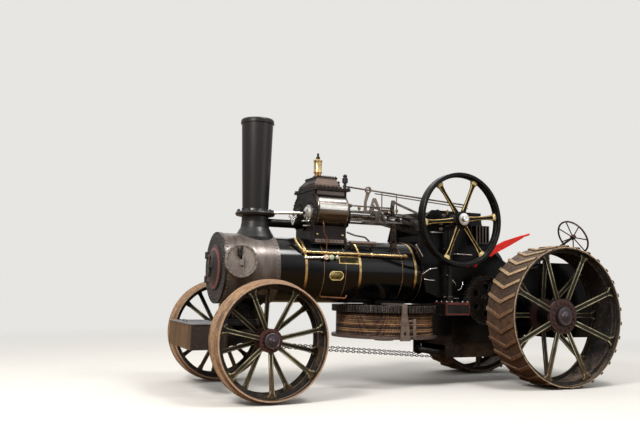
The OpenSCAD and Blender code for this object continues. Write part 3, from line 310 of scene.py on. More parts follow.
drumIron = finish("drumWornIron", (28, 24, 22), (15, 13, 12), metal=.4, rough=(.34, .55), size=8, patch=.5, bump=.25,
                  edge=(190, 180, 170), dust=(96, 82, 72), marks=[
                      ((104, 90, 84), (bandMark, 2, .69, .762)),
                      ((50, 44, 41), (ringMark, .768, .83, (2.402 - midX, 0, 0), 2), (bandMark, 2, 1.09, 1.2))])
ropeWire = finish("rustyWireRope", (152, 106, 70), (84, 56, 38), metal=.25, rough=(.5, .72), size=6, grain=120, bump=.5,
                  deep=.005, strand=28, wound=True)
rearMudAndShade = finish(
    "rearRimMuddySteelPaintedRelief", (100, 78, 60), (62, 46, 37), rough=(.6, .85), size=5, patch=.5, spot=(50, 38, 31), bump=.8,
    deep=.014, grain=26, edge=(206, 174, 136), dust=(150, 130, 112), dustMuch=.75,
    # painted light and shade for the depth of the strakes: their tops paler and the gaps between them darker, both more
    # so towards the top
    marks=[((128, 92, 66), onRear(1.056, 1.08)),
           ((198, 168, 130), (riseMark, 2, 1.05, 1.7), onRear(1.058, 1.08)),
           ((88, 64, 48), onRear(1.036, 1.05)),
           ((74, 57, 44), (riseMark, 2, 1.0, 1.5), onRear(1.036, 1.05)),
           ((112, 78, 55), (cloudMark, 6, .5, .62), (riseMark, 2, 1.5, 1.1), onRear(1.036, 1.08)),
           ((26, 21, 20), onRear(.9, 1.031))]
    # pale rings at the rim's outer edge on both outer faces: rubbed steel, painted paler as an edge highlight
    + bothFaces(1.365, (196, 172, 140), onRear(1.029, 1.044))
    + bothFaces(1.365, (44, 34, 30), onRear(1.046, 1.08))
    + bothFaces(.755, (120, 100, 82), onRear(1.02, 1.044)))
frontStraw = finish(
    "frontRimStrawMudAndHighlight", (170, 138, 100), (128, 99, 70), rough=(.6, .8), size=8, spot=(92, 68, 46), spots=.3, bump=.5,
    grain=60, deep=.006, streak=(1, .35, 1),
    marks=[((30, 24, 22), onFront(.6, .717)),
           ((104, 82, 66), (cloudMark, 5, .42, .6), onFront(.72, .74)),
           ((120, 92, 66), (cloudMark, 3.2, .52, .66), onFront(.757, .8))]
    # the rim's chamfered edges on both faces painted paler: a rubbed pale edge, painted paler still as a highlight
    # against its shade
    + [((188, 156, 130), onFront(.704, .7605), (facingMark, 1, side * .3, side * .6)) for side in (1, -1)])
rearSpokePaint = finish("rearSpokeDarkOlive", (24, 22, 19), (38, 35, 29), rough=(.35, .55), size=7, patch=.4,
                        gloss=.35, dirt=(96, 76, 54), dirtTop=.75, edge=(104, 95, 74),
                        marks=[((66, 44, 42), onRear(.15, .265)), ((26, 22, 23), onRear(-.1, .15))])
frontSpokePaint = finish("frontSpokeDarkOlive", (25, 23, 20), (42, 38, 30), rough=(.35, .55), size=7, patch=.4,
                         gloss=.35, dirt=(104, 82, 56), dirtTop=.7, edge=(106, 97, 76),
                         marks=[((80, 46, 42), onFront(.112, .152)), ((44, 36, 42), onFront(-.1, .112))])
capViolet = finish("hubCapDarkViolet", (62, 52, 62), (42, 35, 40), rough=(.25, .42), coat=.3, size=9, patch=.4,
                   edge=(150, 136, 140))
lineOlive = finish("paleOliveLining", (176, 172, 138), (116, 110, 84), rough=(.4, .6), size=5, patch=.5,
                   dirt=(110, 88, 60), dirtTop=.5, spot=(84, 76, 58), spots=.2)
lineGold = finish("goldLining", (214, 184, 110), (150, 118, 62), rough=(.3, .5), size=10, patch=.4)
goldPatch = finish("paleGoldPaint", (222, 202, 144), (180, 150, 94), rough=(.32, .5), size=8, patch=.35)
lineCream = finish("reddishCreamLining", (150, 120, 92), (104, 60, 44), rough=(.35, .5), size=8)
lineRed = finish("darkRedLining", (120, 38, 30), (78, 28, 24), rough=(.35, .5), size=12)
leverRed = finish("leverRed", (232, 44, 30), (196, 30, 20), rough=(.4, .55), gloss=.3, size=8, patch=.3,
                  spot=(70, 20, 16), spots=.1)
wheelRed = finish("handWheelDarkRed", (66, 30, 27), (37, 20, 19), rough=(.3, .5), size=9, edge=(120, 88, 76))
boxRustAndShade = finish("toolBoxRustBrownAndShade", (114, 88, 62), (84, 64, 46), rough=(.6, .8), size=3, streak=(1, 1.6, .5),
                 spot=(138, 108, 76), spots=.15, bump=.2, edge=(66, 52, 42),
                 # painted shade: the box's two side faces painted dark
                 marks=[((44, 32, 26), (facingMark, 1, side * .5, side * .9)) for side in (1, -1)])
lidGrey = finish("toolBoxLidGrey", (138, 138, 142), (100, 98, 98), metal=.4, rough=(.34, .55), size=5,
                 edge=(180, 178, 176))
flyBlack = finish("flywheelBlack", (8, 8, 9), (17, 15, 14), rough=(.34, .52), coat=.05, gloss=.16, size=4, patch=.3,
                  edge=(92, 86, 78))
dullBrass = finish("dullBrassFittings", (186, 146, 88), (120, 88, 54), metal=.8, rough=(.26, .45), size=12,
                   spot=(70, 54, 40), spots=.2,
                   marks=[((46, 38, 34), (boxMark, (2.38, .33, 1.94), (2.54, .38, 2.43))),
                          ((118, 106, 100), (boxMark, (2.72, .33, 2.04), (3.22, .42, 2.14))),
                          ((22, 19, 19), (boxMark, (3.19, .02, 2.86), (3.32, .16, 3.03)))])
copper = finish("rubbedCopperPipe", (172, 120, 90), (104, 70, 52), metal=.9, rough=(.24, .42), size=12,
                spot=(66, 50, 40), spots=.2)
bronzeField = finish("plateBronzeField", (132, 120, 66), (92, 80, 44), metal=.5, rough=(.35, .5), size=16)
palePink = finish("knobPalePink", (226, 196, 186), (190, 150, 140), rough=(.3, .45), size=20, coat=.2)
paleGreen = finish("knobPaleGreen", (186, 204, 168), (146, 164, 128), rough=(.3, .45), size=20, coat=.2)
dialWhite = finish("gaugeDialWhite", (226, 222, 210), (200, 194, 178), rough=(.3, .4), size=12, patch=.2)
inkBlack = finish("gaugeInkBlack", (20, 20, 22), (34, 32, 32), rough=(.4, .5), size=12)
chainIron = finish("chainOilyIron", (50, 42, 38), (28, 24, 22), metal=.5, rough=(.36, .55), size=14,
                   spot=(84, 58, 40), spots=.25)
handleBlack = finish("handleBlack", (16, 15, 15), (30, 27, 25), rough=(.25, .4), coat=.2, size=14, edge=(96, 88, 80))

dressing = (
    (lagging, "boiler_barrel"), (rubbedBrass, "boiler_brass safety_valve"), (ashGrey, "smokebox"),
    (coverGrey, "smokebox_side_cover"), (doorBrown, "smokebox_door"), (stackBlack, "chimney"),
    (blockIron, "cylinder_block"), (cladSteel, "cylinder_cladding"),
    (brightSteel, "slide_bars connecting_rods crankshaft"),
    (blackPaint, "exhaust_pipe hornplates firebox tender steering_column"), (greasyTeeth, "gear_train drum_shaft"),
    (frameIron, "perch_bracket ashpan drum_bracket rear_axle steering_chains firehole_door drawbar front_axle"),
    (drumIron, "drum_gear"), (ropeWire, "drum_rope"), (greyIron, "coiling_gear regulator_rod"),
    (wheelRed, "steering_wheel"), (leverRed, "reversing_lever"), (dullBrass, "boiler_fittings"),
    (boxRustAndShade, "tool_box"), (lidGrey, "tool_box_lid"), (flyBlack, "flywheel"), (rearMudAndShade, "rear_left_rim rear_right_rim"),
    (frontStraw, "front_left_rim front_right_rim"), (rearSpokePaint, "rear_left_spokes rear_right_spokes"),
    (frontSpokePaint, "front_left_spokes front_right_spokes"))
for material, nodeNames in dressing:
    for nodeName in nodeNames.split():
        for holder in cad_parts[nodeName].material_slots:
            holder.material = material
print("finishes on the frame")


# making pieces
def joined(meshes):
    shell = bmesh.new()
    for mesh in meshes:
        shell.from_mesh(mesh)
    out = bpy.data.meshes.new("joined")
    shell.to_mesh(out)
    shell.free()
    return out


def keep(name, mesh, material, slotName, body="engine"):  # one mesh or several as a piece of the engine
    mesh = joined(mesh) if isinstance(mesh, list) else mesh
    mesh.name = name
    mesh.materials.clear()
    mesh.materials.append(material)
    piece = placed(name, mesh)
    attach(piece, body)
    return piece


def meshOf(points, faces):
    mesh = bpy.data.meshes.new("shell")
    mesh.from_pydata([tuple(p) for p in points], [], faces)
    shell = bmesh.new()
    shell.from_mesh(mesh)
    bmesh.ops.remove_doubles(shell, verts=shell.verts, dist=1e-5)
    bmesh.ops.recalc_face_normals(shell, faces=shell.faces)
    shell.to_mesh(mesh)
    shell.free()
    mesh.shade_smooth()
    mesh.set_sharp_from_angle(angle=math.radians(35))
    return mesh


def baked(mesh, addModifiers):  # modifiers on a holder, then the plain result
    holder = placed("holder", mesh)
    addModifiers(holder)
    bpy.context.view_layer.update()
    out = bpy.data.meshes.new_from_object(holder.evaluated_get(bpy.context.evaluated_depsgraph_get()))
    bpy.data.objects.remove(holder)
    return out


def softened(mesh, width):  # its edges broken by a small bevel
    def soften(holder):
        rounding = holder.modifiers.new("rounding", "BEVEL")
        rounding.width, rounding.segments = width, 2
    return baked(mesh, soften)


def sheet(points, faces, depth):  # faces given a thickness
    def wall(holder):
        solid = holder.modifiers.new("wall", "SOLIDIFY")
        solid.thickness, solid.offset = depth, 0
    return baked(meshOf(points, faces), wall)


def lofted(rings, closed=False):  # a skin over rings of points, with end caps or closed on itself
    count, sides = len(rings), len(rings[0])
    faces = []
    for k in range(count if closed else count - 1):
        for i in range(sides):
            j, n = (i + 1) % sides, ((k + 1) % count) * sides
            faces.append((k * sides + i, k * sides + j, n + j, n + i))
    if not closed:
        faces += [tuple(reversed(range(sides))), tuple(range((count - 1) * sides, count * sides))]
    return meshOf([p for ring in rings for p in ring], faces)


def lathe(profile, foot, axis, sides=24, closed=False):
    # a profile of (radius, height) turned round an axis that starts at foot
    turn = Vector(axis).to_track_quat("Z", "Y").to_matrix()
    foot = foot if isinstance(foot, Vector) else at(*foot)
    angles = [2 * math.pi * i / sides for i in range(sides)]
    return lofted([[foot + turn @ Vector((r * math.cos(a), r * math.sin(a), h)) for a in angles]
                   for r, h in profile], closed)


def ringTube(centre, axis, r, tube, sides=24, around=8):  # a ring of round bar
    angles = [2 * math.pi * k / around for k in range(around)]
    return lathe([(r + tube * math.cos(a), tube * math.sin(a)) for a in angles], centre, axis, sides, True)


def blocks(table, bevel=.003):  # bevelled bars and plates, two corners each
    points, faces = [], []
    for p, q in table:
        p, q = at(*p), at(*q)
        base = len(points)
        points += [Vector((p.x if i & 1 else q.x, p.y if i & 2 else q.y, p.z if i & 4 else q.z)) for i in range(8)]
        faces += [tuple(base + i for i in f) for f in ((0, 1, 3, 2), (4, 6, 7, 5), (0, 4, 5, 1), (2, 3, 7, 6),
                                                       (0, 2, 6, 4), (1, 5, 7, 3))]
    return softened(meshOf(points, faces), bevel)


def bar(p, q, wide, thick, sideways=left):  # a tapered flat bar between two points, wide at each end
    p, q = at(*p), at(*q)
    across = (q - p).normalized().cross(sideways).normalized()
    points = [end + across * w / 2 * a + sideways * thick / 2 * b for end, w in ((p, wide[0]), (q, wide[1]))
              for a, b in ((1, 1), (-1, 1), (-1, -1), (1, -1))]
    mesh = meshOf(points, [(0, 1, 2, 3), (4, 5, 6, 7), (0, 1, 5, 4), (1, 2, 6, 5), (2, 3, 7, 6), (3, 0, 4, 7)])
    return softened(mesh, min(thick, min(wide)) * .2)


def treeWith(name, inputs):  # a geometry tree with named inputs, its group input and output
    tree = bpy.data.node_groups.new(name, "GeometryNodeTree")
    face = tree.interface
    face.new_socket("Points", in_out="INPUT", socket_type="NodeSocketGeometry")
    for label, kind in inputs + (("finish", "Material"),):
        face.new_socket(label, in_out="INPUT", socket_type="NodeSocket" + kind)
    face.new_socket("Made", in_out="OUTPUT", socket_type="NodeSocketGeometry")
    return tree, put(tree, "NodeGroupInput").outputs, put(tree, "NodeGroupOutput")


def closeTree(tree, made, into, out):
    solid = put(tree, "GeometryNodeRealizeInstances", {0: made}).outputs[0]
    done = put(tree, "GeometryNodeSetMaterial", {"Geometry": solid, "Material": into["finish"]}).outputs[0]
    tree.links.new(done, out.inputs[0])
    return tree


def studTree():  # a head on every point, standing along the point's own direction
    tree, into, out = treeWith("studHeads", (("headRadius", "Float"), ("headHeight", "Float"), ("crownShare", "Float"),
                                             ("sides", "Int")))
    crown = maths(tree, "MULTIPLY", into["headRadius"], into["crownShare"])
    head = put(tree, "GeometryNodeMeshCone", {"Vertices": into["sides"], "Radius Top": crown,
                                              "Radius Bottom": into["headRadius"], "Depth": into["headHeight"]})
    lean = put(tree, "GeometryNodeInputNamedAttribute", {"Name": "out"}, data_type="FLOAT_VECTOR").outputs[0]
    turn = put(tree, "FunctionNodeAlignRotationToVector", {"Vector": lean}, axis="Z").outputs[0]
    many = put(tree, "GeometryNodeInstanceOnPoints", {"Points": into["Points"], "Instance": head.outputs[0],
                                                      "Rotation": turn})
    return closeTree(tree, many.outputs[0], into, out)


def pipeTree():  # round pipes along edge paths, their corners rounded
    tree, into, out = treeWith("pipeRuns", (("pipeRadius", "Float"), ("bendRadius", "Float"), ("sides", "Int")))
    path = put(tree, "GeometryNodeMeshToCurve", {0: into["Points"]}).outputs[0]
    soft = put(tree, "GeometryNodeFilletCurve", {0: path}, mode="POLY")
    for label, value in (("Count", 5), ("Limit Radius", True)):
        soft.inputs[label].default_value = value
    tree.links.new(into["bendRadius"], soft.inputs["Radius"])
    ring = put(tree, "GeometryNodeCurvePrimitiveCircle", {"Resolution": into["sides"], "Radius": into["pipeRadius"]})
    tube = put(tree, "GeometryNodeCurveToMesh", {"Curve": soft.outputs[0], "Profile Curve": ring.outputs[0],
                                                 "Fill Caps": True}).outputs[0]
    return closeTree(tree, put(tree, "GeometryNodeSetShadeSmooth", {0: tube}).outputs[0], into, out)


def chainTree():  # links along edge paths, every second one turned by a quarter
    tree, into, out = treeWith("chainLinks", (("pitch", "Float"), ("linkWide", "Float"), ("wire", "Float")))
    path = put(tree, "GeometryNodeMeshToCurve", {0: into["Points"]}).outputs[0]
    even = put(tree, "GeometryNodeCurveToPoints", {"Curve": path, "Length": into["pitch"]}, mode="LENGTH")
    oval = put(tree, "GeometryNodeCurvePrimitiveCircle", {"Resolution": 10, "Radius": into["linkWide"]}).outputs[0]
    longer = put(tree, "GeometryNodeTransform", {"Geometry": oval, "Scale": (2.0, 1, 1)}).outputs[0]
    wire = put(tree, "GeometryNodeCurvePrimitiveCircle", {"Resolution": 6, "Radius": into["wire"]}).outputs[0]
    link = put(tree, "GeometryNodeCurveToMesh", {"Curve": longer, "Profile Curve": wire}).outputs[0]
    odd = maths(tree, "MODULO", put(tree, "GeometryNodeInputIndex").outputs[0], 2.0)
    spin = put(tree, "ShaderNodeCombineXYZ", {0: maths(tree, "MULTIPLY", odd, math.pi / 2)}).outputs[0]
    along = put(tree, "FunctionNodeAlignRotationToVector", {"Vector": even.outputs["Tangent"]}, axis="X").outputs[0]
    turned = put(tree, "FunctionNodeRotateRotation", {0: along, 1: spin}, rotation_space="LOCAL").outputs[0]
    many = put(tree, "GeometryNodeInstanceOnPoints", {"Points": even.outputs[0], "Instance": link, "Rotation": turned})
    return closeTree(tree, many.outputs[0], into, out)


def grown(points, edges, tree, values, material, outs=None):  # a tree's result as a plain mesh
    seed = bpy.data.meshes.new("seed")
    seed.from_pydata([tuple(p) for p in points], edges, [])
    if outs:
        seed.attributes.new("out", "FLOAT_VECTOR", "POINT").data.foreach_set("vector", [c for o in outs for c in o])
    sockets = {item.name: item.identifier for item in tree.interface.items_tree if item.in_out == "INPUT"}

    def grow(holder):
        modifier = holder.modifiers.new("grow", "NODES")
        modifier.node_group = tree
        for key, value in {**values, "finish": material}.items():
            modifier[sockets[key]] = value
    return baked(seed, grow)


heads, pipes, chains = studTree(), pipeTree(), chainTree()
headKinds = {kind: dict(zip(("headRadius", "headHeight", "crownShare", "sides"), sizes)) for kind, sizes in (
    ("rivet", (.012, .010, .5, 8)), ("smallRivet", (.007, .006, .5, 7)), ("nut", (.019, .024, .92, 6)),
    ("smallNut", (.012, .014, .92, 6)), ("bigNut", (.027, .034, .92, 6)))}


def studs(name, kind, spots, material, slotName, body="engine"):
    mesh = grown([p for p, _ in spots], [], heads, headKinds[kind], material, [o for _, o in spots])
    return keep(name, mesh, material, slotName, body)


def runsOf(runs):  # the points of several paths, and the edges between them
    points, edges = [], []
    for run in runs:
        edges += [(len(points) + i, len(points) + i + 1) for i in range(len(run) - 1)]
        points += [at(*p) for p in run]
    return points, edges


def pipework(name, runs, radius, material, slotName="boiler_fittings", bend=.05, sides=12):
    values = {"pipeRadius": radius, "bendRadius": bend, "sides": sides}
    return keep(name, grown(*runsOf(runs), pipes, values, material), material, slotName)


def ringAround(axis, centre, r, count, out=None, start=0.0, sweep=360):  # spots round an axis through a centre
    spots = []
    for i in range(count):
        a = math.radians(start + sweep * i / (count if sweep == 360 else count - 1))
        d = {"x": Vector((0, math.sin(a), math.cos(a))), "y": Vector((math.sin(a), 0, math.cos(a))),
             "z": Vector((math.cos(a), math.sin(a), 0))}[axis]
        spots.append((at(*centre) + d * r, out or d))
    return spots


def row(p, q, count, out):
    p, q = at(*p), at(*q)
    return [(p.lerp(q, i / (count - 1)), Vector(out)) for i in range(count)]


def mirrored(v, hand=-1):
    return Vector((v[0], v[1] * hand, v[2]))


def both(spots):  # the same on the other side
    return spots + [(mirrored(p), mirrored(o)) for p, o in spots]


def pair(corners):  # a bar and its twin on the other side, by two corners
    return [tuple((x, s * y, z) for x, y, z in corners) for s in (1, -1)]


# studs, nuts and rivets
smoke = {"radius": .484, "axis": 1.68, "seams": (4.323, 5.033), "front": 5.083, "studs": .43}
studs("smokeboxRivets", "rivet", [s for x in smoke["seams"]
                                  for s in ringAround("x", (x, 0, smoke["axis"]), smoke["radius"], 52)],
      ashGrey, "smokebox")
studs("smokeboxFrontStuds", "rivet", ringAround("x", (smoke["front"], 0, smoke["axis"]), smoke["studs"], 30, front),
      blockIron, "smokebox")
stack = {"x": 4.521, "flange": 2.491, "nutR": .245, "saddle": 2.124, "saddleR": .281, "saddleEnd": 4.27}
studs("chimneyFlangeNuts", "nut", ringAround("z", (stack["x"], 0, stack["flange"]), stack["nutR"], 14, up), stackBlack,
      "chimney")
cover = {"centre": (4.878, .536, 1.768), "nutR": .211, "count": 18}
studs("sideCoverNuts", "smallNut", ringAround("y", cover["centre"], cover["nutR"], cover["count"], left), coverGrey,
      "smokebox_side_cover")
perch = {"x": (4.523, 4.633, 4.743, 4.853), "y": .166, "z": (1.02, 1.13)}
studs("perchNuts", "nut", both([(at(x, perch["y"], z), left) for x in perch["x"] for z in perch["z"]]), frameIron,
      "perch_bracket")
cylinder = {"y": .19, "z": 2.5, "front": 3.76, "back": 3.195, "block": "cylinder_block"}
studs("cylinderNuts", "smallNut", both(
    ringAround("x", (cylinder["front"], cylinder["y"], cylinder["z"]), .16, 18, front)
    + ringAround("x", (3.756, cylinder["y"], 2.54), .24, 12, front, 20, 140)
    + row((3.28, .36, 2.10), (3.70, .36, 2.10), 8, left)), blockIron, cylinder["block"])
studs("cylinderBackNuts", "nut", both(
    ringAround("x", (cylinder["back"], cylinder["y"], cylinder["z"]), .175, 14, -front)
    + row((3.23, .385, 2.866), (3.74, .385, 2.866), 9, up)), blockIron, cylinder["block"])
studs("chestNuts", "smallNut", both(
    row((3.37, .3065, 2.9), (3.70, .3065, 2.9), 9, left) + row((3.36, .21, 3.052), (3.64, .21, 3.052), 8, up))
    + row((3.733, -.27, 2.9), (3.733, .27, 2.9), 9, front), blockIron, cylinder["block"])
studs("exhaustNuts", "smallNut", ringAround("x", (3.882, 0, 2.345), .068, 8, front), blackPaint, "exhaust_pipe")
shaft = {"x": 1.616, "leftFace": .5843, "rightFace": -.5063, "bolts": (-.155, .155), "levels": (2.345, 2.43),
         "capBolts": (-.105, .105), "capLevel": 2.555}
studs("bearingNuts", "bigNut",
      [(at(shaft["x"] + x, shaft["leftFace"], z), left) for x in shaft["bolts"] for z in shaft["levels"]]
      + [(at(shaft["x"] + x, shaft["leftFace"], shaft["capLevel"]), left) for x in shaft["capBolts"]]
      + [(at(shaft["x"] + x, shaft["rightFace"], z), -left) for x in shaft["bolts"] for z in shaft["levels"]],
      greyIron, "hornplates")
studs("axleBoxNuts", "nut", both(ringAround("y", (0, .5623, 1.067), .1, 8, left)), frameIron, "hornplates")
# rows as x and z of both ends and a count, and the field of stays
horn = {"face": .4923, "field": (.55, 1.36), "pitch": .14, "across": 10, "high": 4,
        "rows": ((.5, 1.262, 1.45, 1.262, 16), (1.93, 1.44, 2.075, 2.03, 10), (2.07, 2.09, 1.975, 2.46, 6),
                 (-.16, .92, .2, .92, 6), (-.16, 1.0, -.16, 1.8, 11))}
hornSpots = [s for x0, z0, x1, z1, count in horn["rows"]
             for s in row((x0, horn["face"], z0), (x1, horn["face"], z1), count, left)]
hornSpots += [(at(horn["field"][0] + horn["pitch"] * i, horn["face"], horn["field"][1] + horn["pitch"] * k), left)
              for i in range(horn["across"]) for k in range(horn["high"])]
studs("hornplateStuds", "rivet", both(hornSpots), blackPaint, "hornplates")
# red lining and nuts of the hood over the drum pinion
hood = {"back": 1.4051, "nose": 1.8269, "side": .8209, "inner": .50, "low": 1.06, "top": 1.255, "inset": .012,
        "wide": .006, "nutX": (1.43, 1.52, 1.71, 1.8), "nutY": (.53, .79)}
studs("hoodNuts", "smallNut", [(at(x, y, hood["top"]), up) for x in hood["nutX"] for y in hood["nutY"]], silver,
      "drum_shaft")
studs("bracketNuts", "smallNut", [(at(shaft["x"] + s * .038, y, z), up) for s in (-1, 1) for y in (.52, .545)
                                  for z in (1.324, 2.044)], greyIron, "drum_shaft")
tenderBox = {"back": -1.29, "front": -.36, "side": .62, "inset": .03, "half": .59, "posts": (.98, 1.8),
             "seams": (.93, 1.222, 1.296, 1.85)}


def tenderRivets():
    t, spots = tenderBox, []
    ends, (low, high) = (t["back"] + t["inset"], t["front"] - t["inset"]), t["posts"]
    for z in t["seams"]:
        spots += both(row((ends[0], t["side"], z), (ends[1], t["side"], z), 17, left))
        spots += row((t["back"], -t["half"], z), (t["back"], t["half"], z), 21, -front)
    for x in ends:
        spots += both(row((x, t["side"], low), (x, t["side"], high), 14, left))
    for y in (-t["half"], t["half"]):
        spots += row((t["back"], y, low), (t["back"], y, high), 14, -front)
    return spots


studs("tenderRivets", "smallRivet", tenderRivets(), blackPaint, "tender")
studs("toolBoxRivets", "smallRivet", both(
    [s for z in (.66, .88) for s in row((5.09, .61, z), (5.52, .61, z), 7, left)]
    + row((5.543, .585, .65), (5.543, .585, .89), 5, front)), boxRustAndShade, "tool_box", "fore_carriage")
print("studs, nuts and rivets done")

# wheels: lining on the spokes, hub caps, nuts and rivets
wheelSets = {
    "rear": {"x": 0, "z": 1.067, "face": 1.365, "width": .61, "rimIn": 1.028, "count": 16, "hubR": .262, "capR": .144,
             "hubY": .213, "barW": .08, "barT": .02, "line": .0145, "nutR": .205, "rows": (-.27, -.09, .09, .27),
             "strakes": 30, "nut": "nut", "paint": rearSpokePaint, "mud": rearMudAndShade},
    "front": {"x": 4.683, "z": .762, "face": 1.352, "width": .406, "rimIn": .71, "count": 14, "hubR": .148,
              "capR": .108, "hubY": .103, "barW": .058, "barT": .016, "line": .0105, "nutR": .118, "rows": (-.02, .02),
              "strakes": 28, "nut": "smallNut", "paint": frontSpokePaint, "mud": frontStraw},
}
tee = {"in": .095, "thick": .016, "high": .066}  # the rings inside a rim that the spokes are bolted to
painted = {"lift": .0012, "depth": .0016}  # how far a painted line stands off, and how thick it is
capShape = ((.93, -.002), (.93, .008), (.84, .014), (.8, .010), (.5, .012), (.46, .026), (.4, .032), (.2, .034),
            (.17, .046), (.12, .05))  # share of the cap's radius, height


def outAndAcross(angle):  # away from the hub and sideways, in the plane of a wheel
    return Vector((math.sin(angle), 0, math.cos(angle))), Vector((math.cos(angle), 0, -math.sin(angle)))


def footFace(w, i):  # where spoke i lies on its tee ring
    teeY = w["width"] / 2 - tee["in"]
    return (teeY if i % 2 else -teeY) + tee["thick"] / 2 + .0003


def spokeLines(w):  # a pale line along both edges of every spoke, on both faces
    points, faces = [], []
    root, tip, footT = w["hubR"] * .62, w["rimIn"] - tee["high"], w["barT"] + .006
    flange = (-w["width"] / 2 + .034, w["hubY"] - .062)

    def add(spots):
        faces.append(tuple(range(len(points), len(points) + len(spots))))
        points.extend(spots)
    for i in range(w["count"]):
        along, across = outAndAcross(2 * math.pi * i / w["count"])
        yHub, yRim = flange[i % 2], footFace(w, i) + footT / 2
        slope = (yRim - yHub) / (tip - root - .01)
        s0, s1 = w["hubR"] + .012, tip - .06
        for side in (-1, 1):
            for face in (1, -1):
                lift = face * (w["barT"] / 2 + painted["lift"])
                o0, o1 = [side * (w["barW"] / 2 - .002 - wide) for wide in (0, w["line"])]
                add([along * s + across * o + left * (yHub + (s - root) * slope + lift)
                     for s, o in ((s0, o0), (s1, o0), (s1, o1), (s0, o1))])
            # the line spreads over the flared foot, on its outer face
            add([along * s + across * side * o + left * (yRim + footT / 2 + painted["lift"]) for s, o in (
                (tip - .05, w["barW"] * .5), (tip - .006, w["barW"] * .6), (tip + .012, w["barW"] * .98),
                (w["rimIn"] - .02, w["barW"] * .98), (w["rimIn"] - .02, w["barW"] * .62),
                (tip - .05, w["barW"] * .24))])
    return points, faces


def wheelSpots(w):  # nuts on the hub and on the spokes' feet, rivets inside the rim, from the rim's middle
    hub, feet, inner = [], [], []
    for i in range(w["count"]):
        a = 2 * math.pi * (i + .5) / w["count"]
        hub.append((Vector((w["nutR"] * math.sin(a), w["hubY"] - .035, w["nutR"] * math.cos(a))), left))
        along, across = outAndAcross(2 * math.pi * i / w["count"])
        y = footFace(w, i) + (w["barT"] + .006)
        for s, o in ((w["rimIn"] - .036, -.72), (w["rimIn"] - .036, .72), (w["rimIn"] - tee["high"] - .02, 0)):
            feet.append((along * s + across * o * w["barW"] + left * y, left))
    for i in range(w["strakes"]):
        along = outAndAcross(2 * math.pi * (i + .5) / w["strakes"])[0]
        inner += [(along * w["rimIn"] + left * y, -along) for y in w["rows"]]
    return hub, feet, inner


for end, w in wheelSets.items():
    for side, hand in (("left", 1), ("right", -1)):
        middle = Vector((w["x"] - midX, hand * (w["face"] - w["width"] / 2), w["z"]))
        label, wheel = end + side.capitalize(), end + "_" + side
        spokes, rim, body = wheel + "_spokes", wheel + "_rim", wheel + "_wheel"
        points, faces = spokeLines(w)
        keep(label + "SpokeLining", sheet([mirrored(p, hand) + middle for p in points], faces, painted["depth"]),
             lineOlive, spokes, body)
        for what, kind, spots, paint, node in zip(("HubNuts", "FootNuts", "RimRivets"), (w["nut"], "smallNut", "rivet"),
                                                  wheelSpots(w), (w["paint"], w["paint"], w["mud"]),
                                                  (spokes, spokes, rim)):
            studs(label + what, kind, [(mirrored(p, hand) + middle, mirrored(o, hand)) for p, o in spots], paint,
                  node, body)
        keep(label + "HubCap", lathe([(w["capR"] * r, h) for r, h in capShape], middle + left * hand * w["hubY"],
                                     left * hand, 32), capViolet, spokes, body)
print("wheels lined and bolted")

# flywheel: a casting of the same size in place of the plain one, with lined spokes
flywheel = {"x": 1.616, "z": 2.47, "rimOut": .70, "rimIn": .648, "low": .808, "high": .949, "middle": .8785,
            "hubFoot": .7985, "discFoot": .9744, "endFoot": 1.0150, "turn": 36.5, "arms": 6, "corner": .008,
            "first": .08, "step": .0287, "steps": 21,
            "sections": ((.08, .05, .03), (.12, .042, .027), (.3, .031, .022), (.47, .030, .021), (.56, .040, .022),
                         (.62, .066, .024), (.655, .092, .026))}  # distance out, half width, half thickness


def roundedBox(rIn, rOut, low, high):  # a section with broken corners
    soft = flywheel["corner"]
    return [(rIn + soft, low), (rOut - soft, low), (rOut, low + soft), (rOut, high - soft), (rOut - soft, high),
            (rIn + soft, high), (rIn, high - soft), (rIn, low + soft)]


def spokeFrame(i):
    return outAndAcross(math.radians(i * 360 / flywheel["arms"] + flywheel["turn"]))


def spokeShape(s):  # half width and half thickness of a spoke at a distance out
    for (s0, w0, t0), (s1, w1, t1) in zip(flywheel["sections"], flywheel["sections"][1:]):
        if s <= s1:
            k = (s - s0) / (s1 - s0)
            k = k * k * (3 - 2 * k)
            return w0 + (w1 - w0) * k, t0 + (t1 - t0) * k
    return flywheel["sections"][-1][1:]


def flywheelSpoke(i, sides=20):
    along, across = spokeFrame(i)
    centre = at(flywheel["x"], flywheel["middle"], flywheel["z"])
    rings = []
    for s in [flywheel["first"] + flywheel["step"] * k for k in range(flywheel["steps"])]:
        wide, thick = spokeShape(s)
        rings.append([centre + along * s + across * wide * math.cos(2 * math.pi * k / sides)
                      + left * thick * math.sin(2 * math.pi * k / sides) for k in range(sides)])
    return lofted(rings)


def flywheelMeshes():
    f = flywheel
    place = (f["x"], 0, f["z"])
    rim = lathe(roundedBox(f["rimIn"], f["rimOut"], f["low"], f["high"]), place, left, 128, True)
    bead = lathe(roundedBox(f["rimIn"] - .016, f["rimIn"] + .01, f["middle"] - .03, f["middle"] + .03), place, left,
                 96, True)
    hub = lathe([(.05, 0), (.08, 0), (.092, .01), (.092, .04), (.12, .046), (.12, .114), (.092, .12), (.092, .166),
                 (.08, .176), (.05, .176)], (f["x"], f["hubFoot"], f["z"]), left, 48)
    return [rim, bead, hub] + [flywheelSpoke(i) for i in range(f["arms"])]


flywheelPiece = keep("flywheelCasting", flywheelMeshes(), flyBlack, "flywheel", "flywheel")
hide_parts("flywheel")


def onSpoke(i, s, share):  # a spot on a spoke's outer face, share of the half width across
    along, across = spokeFrame(i)
    wide, thick = spokeShape(s)
    lift = flywheel["middle"] + thick * math.sqrt(1 - share * share) + painted["lift"]
    return at(flywheel["x"], lift, flywheel["z"]) + along * s + across * wide * share


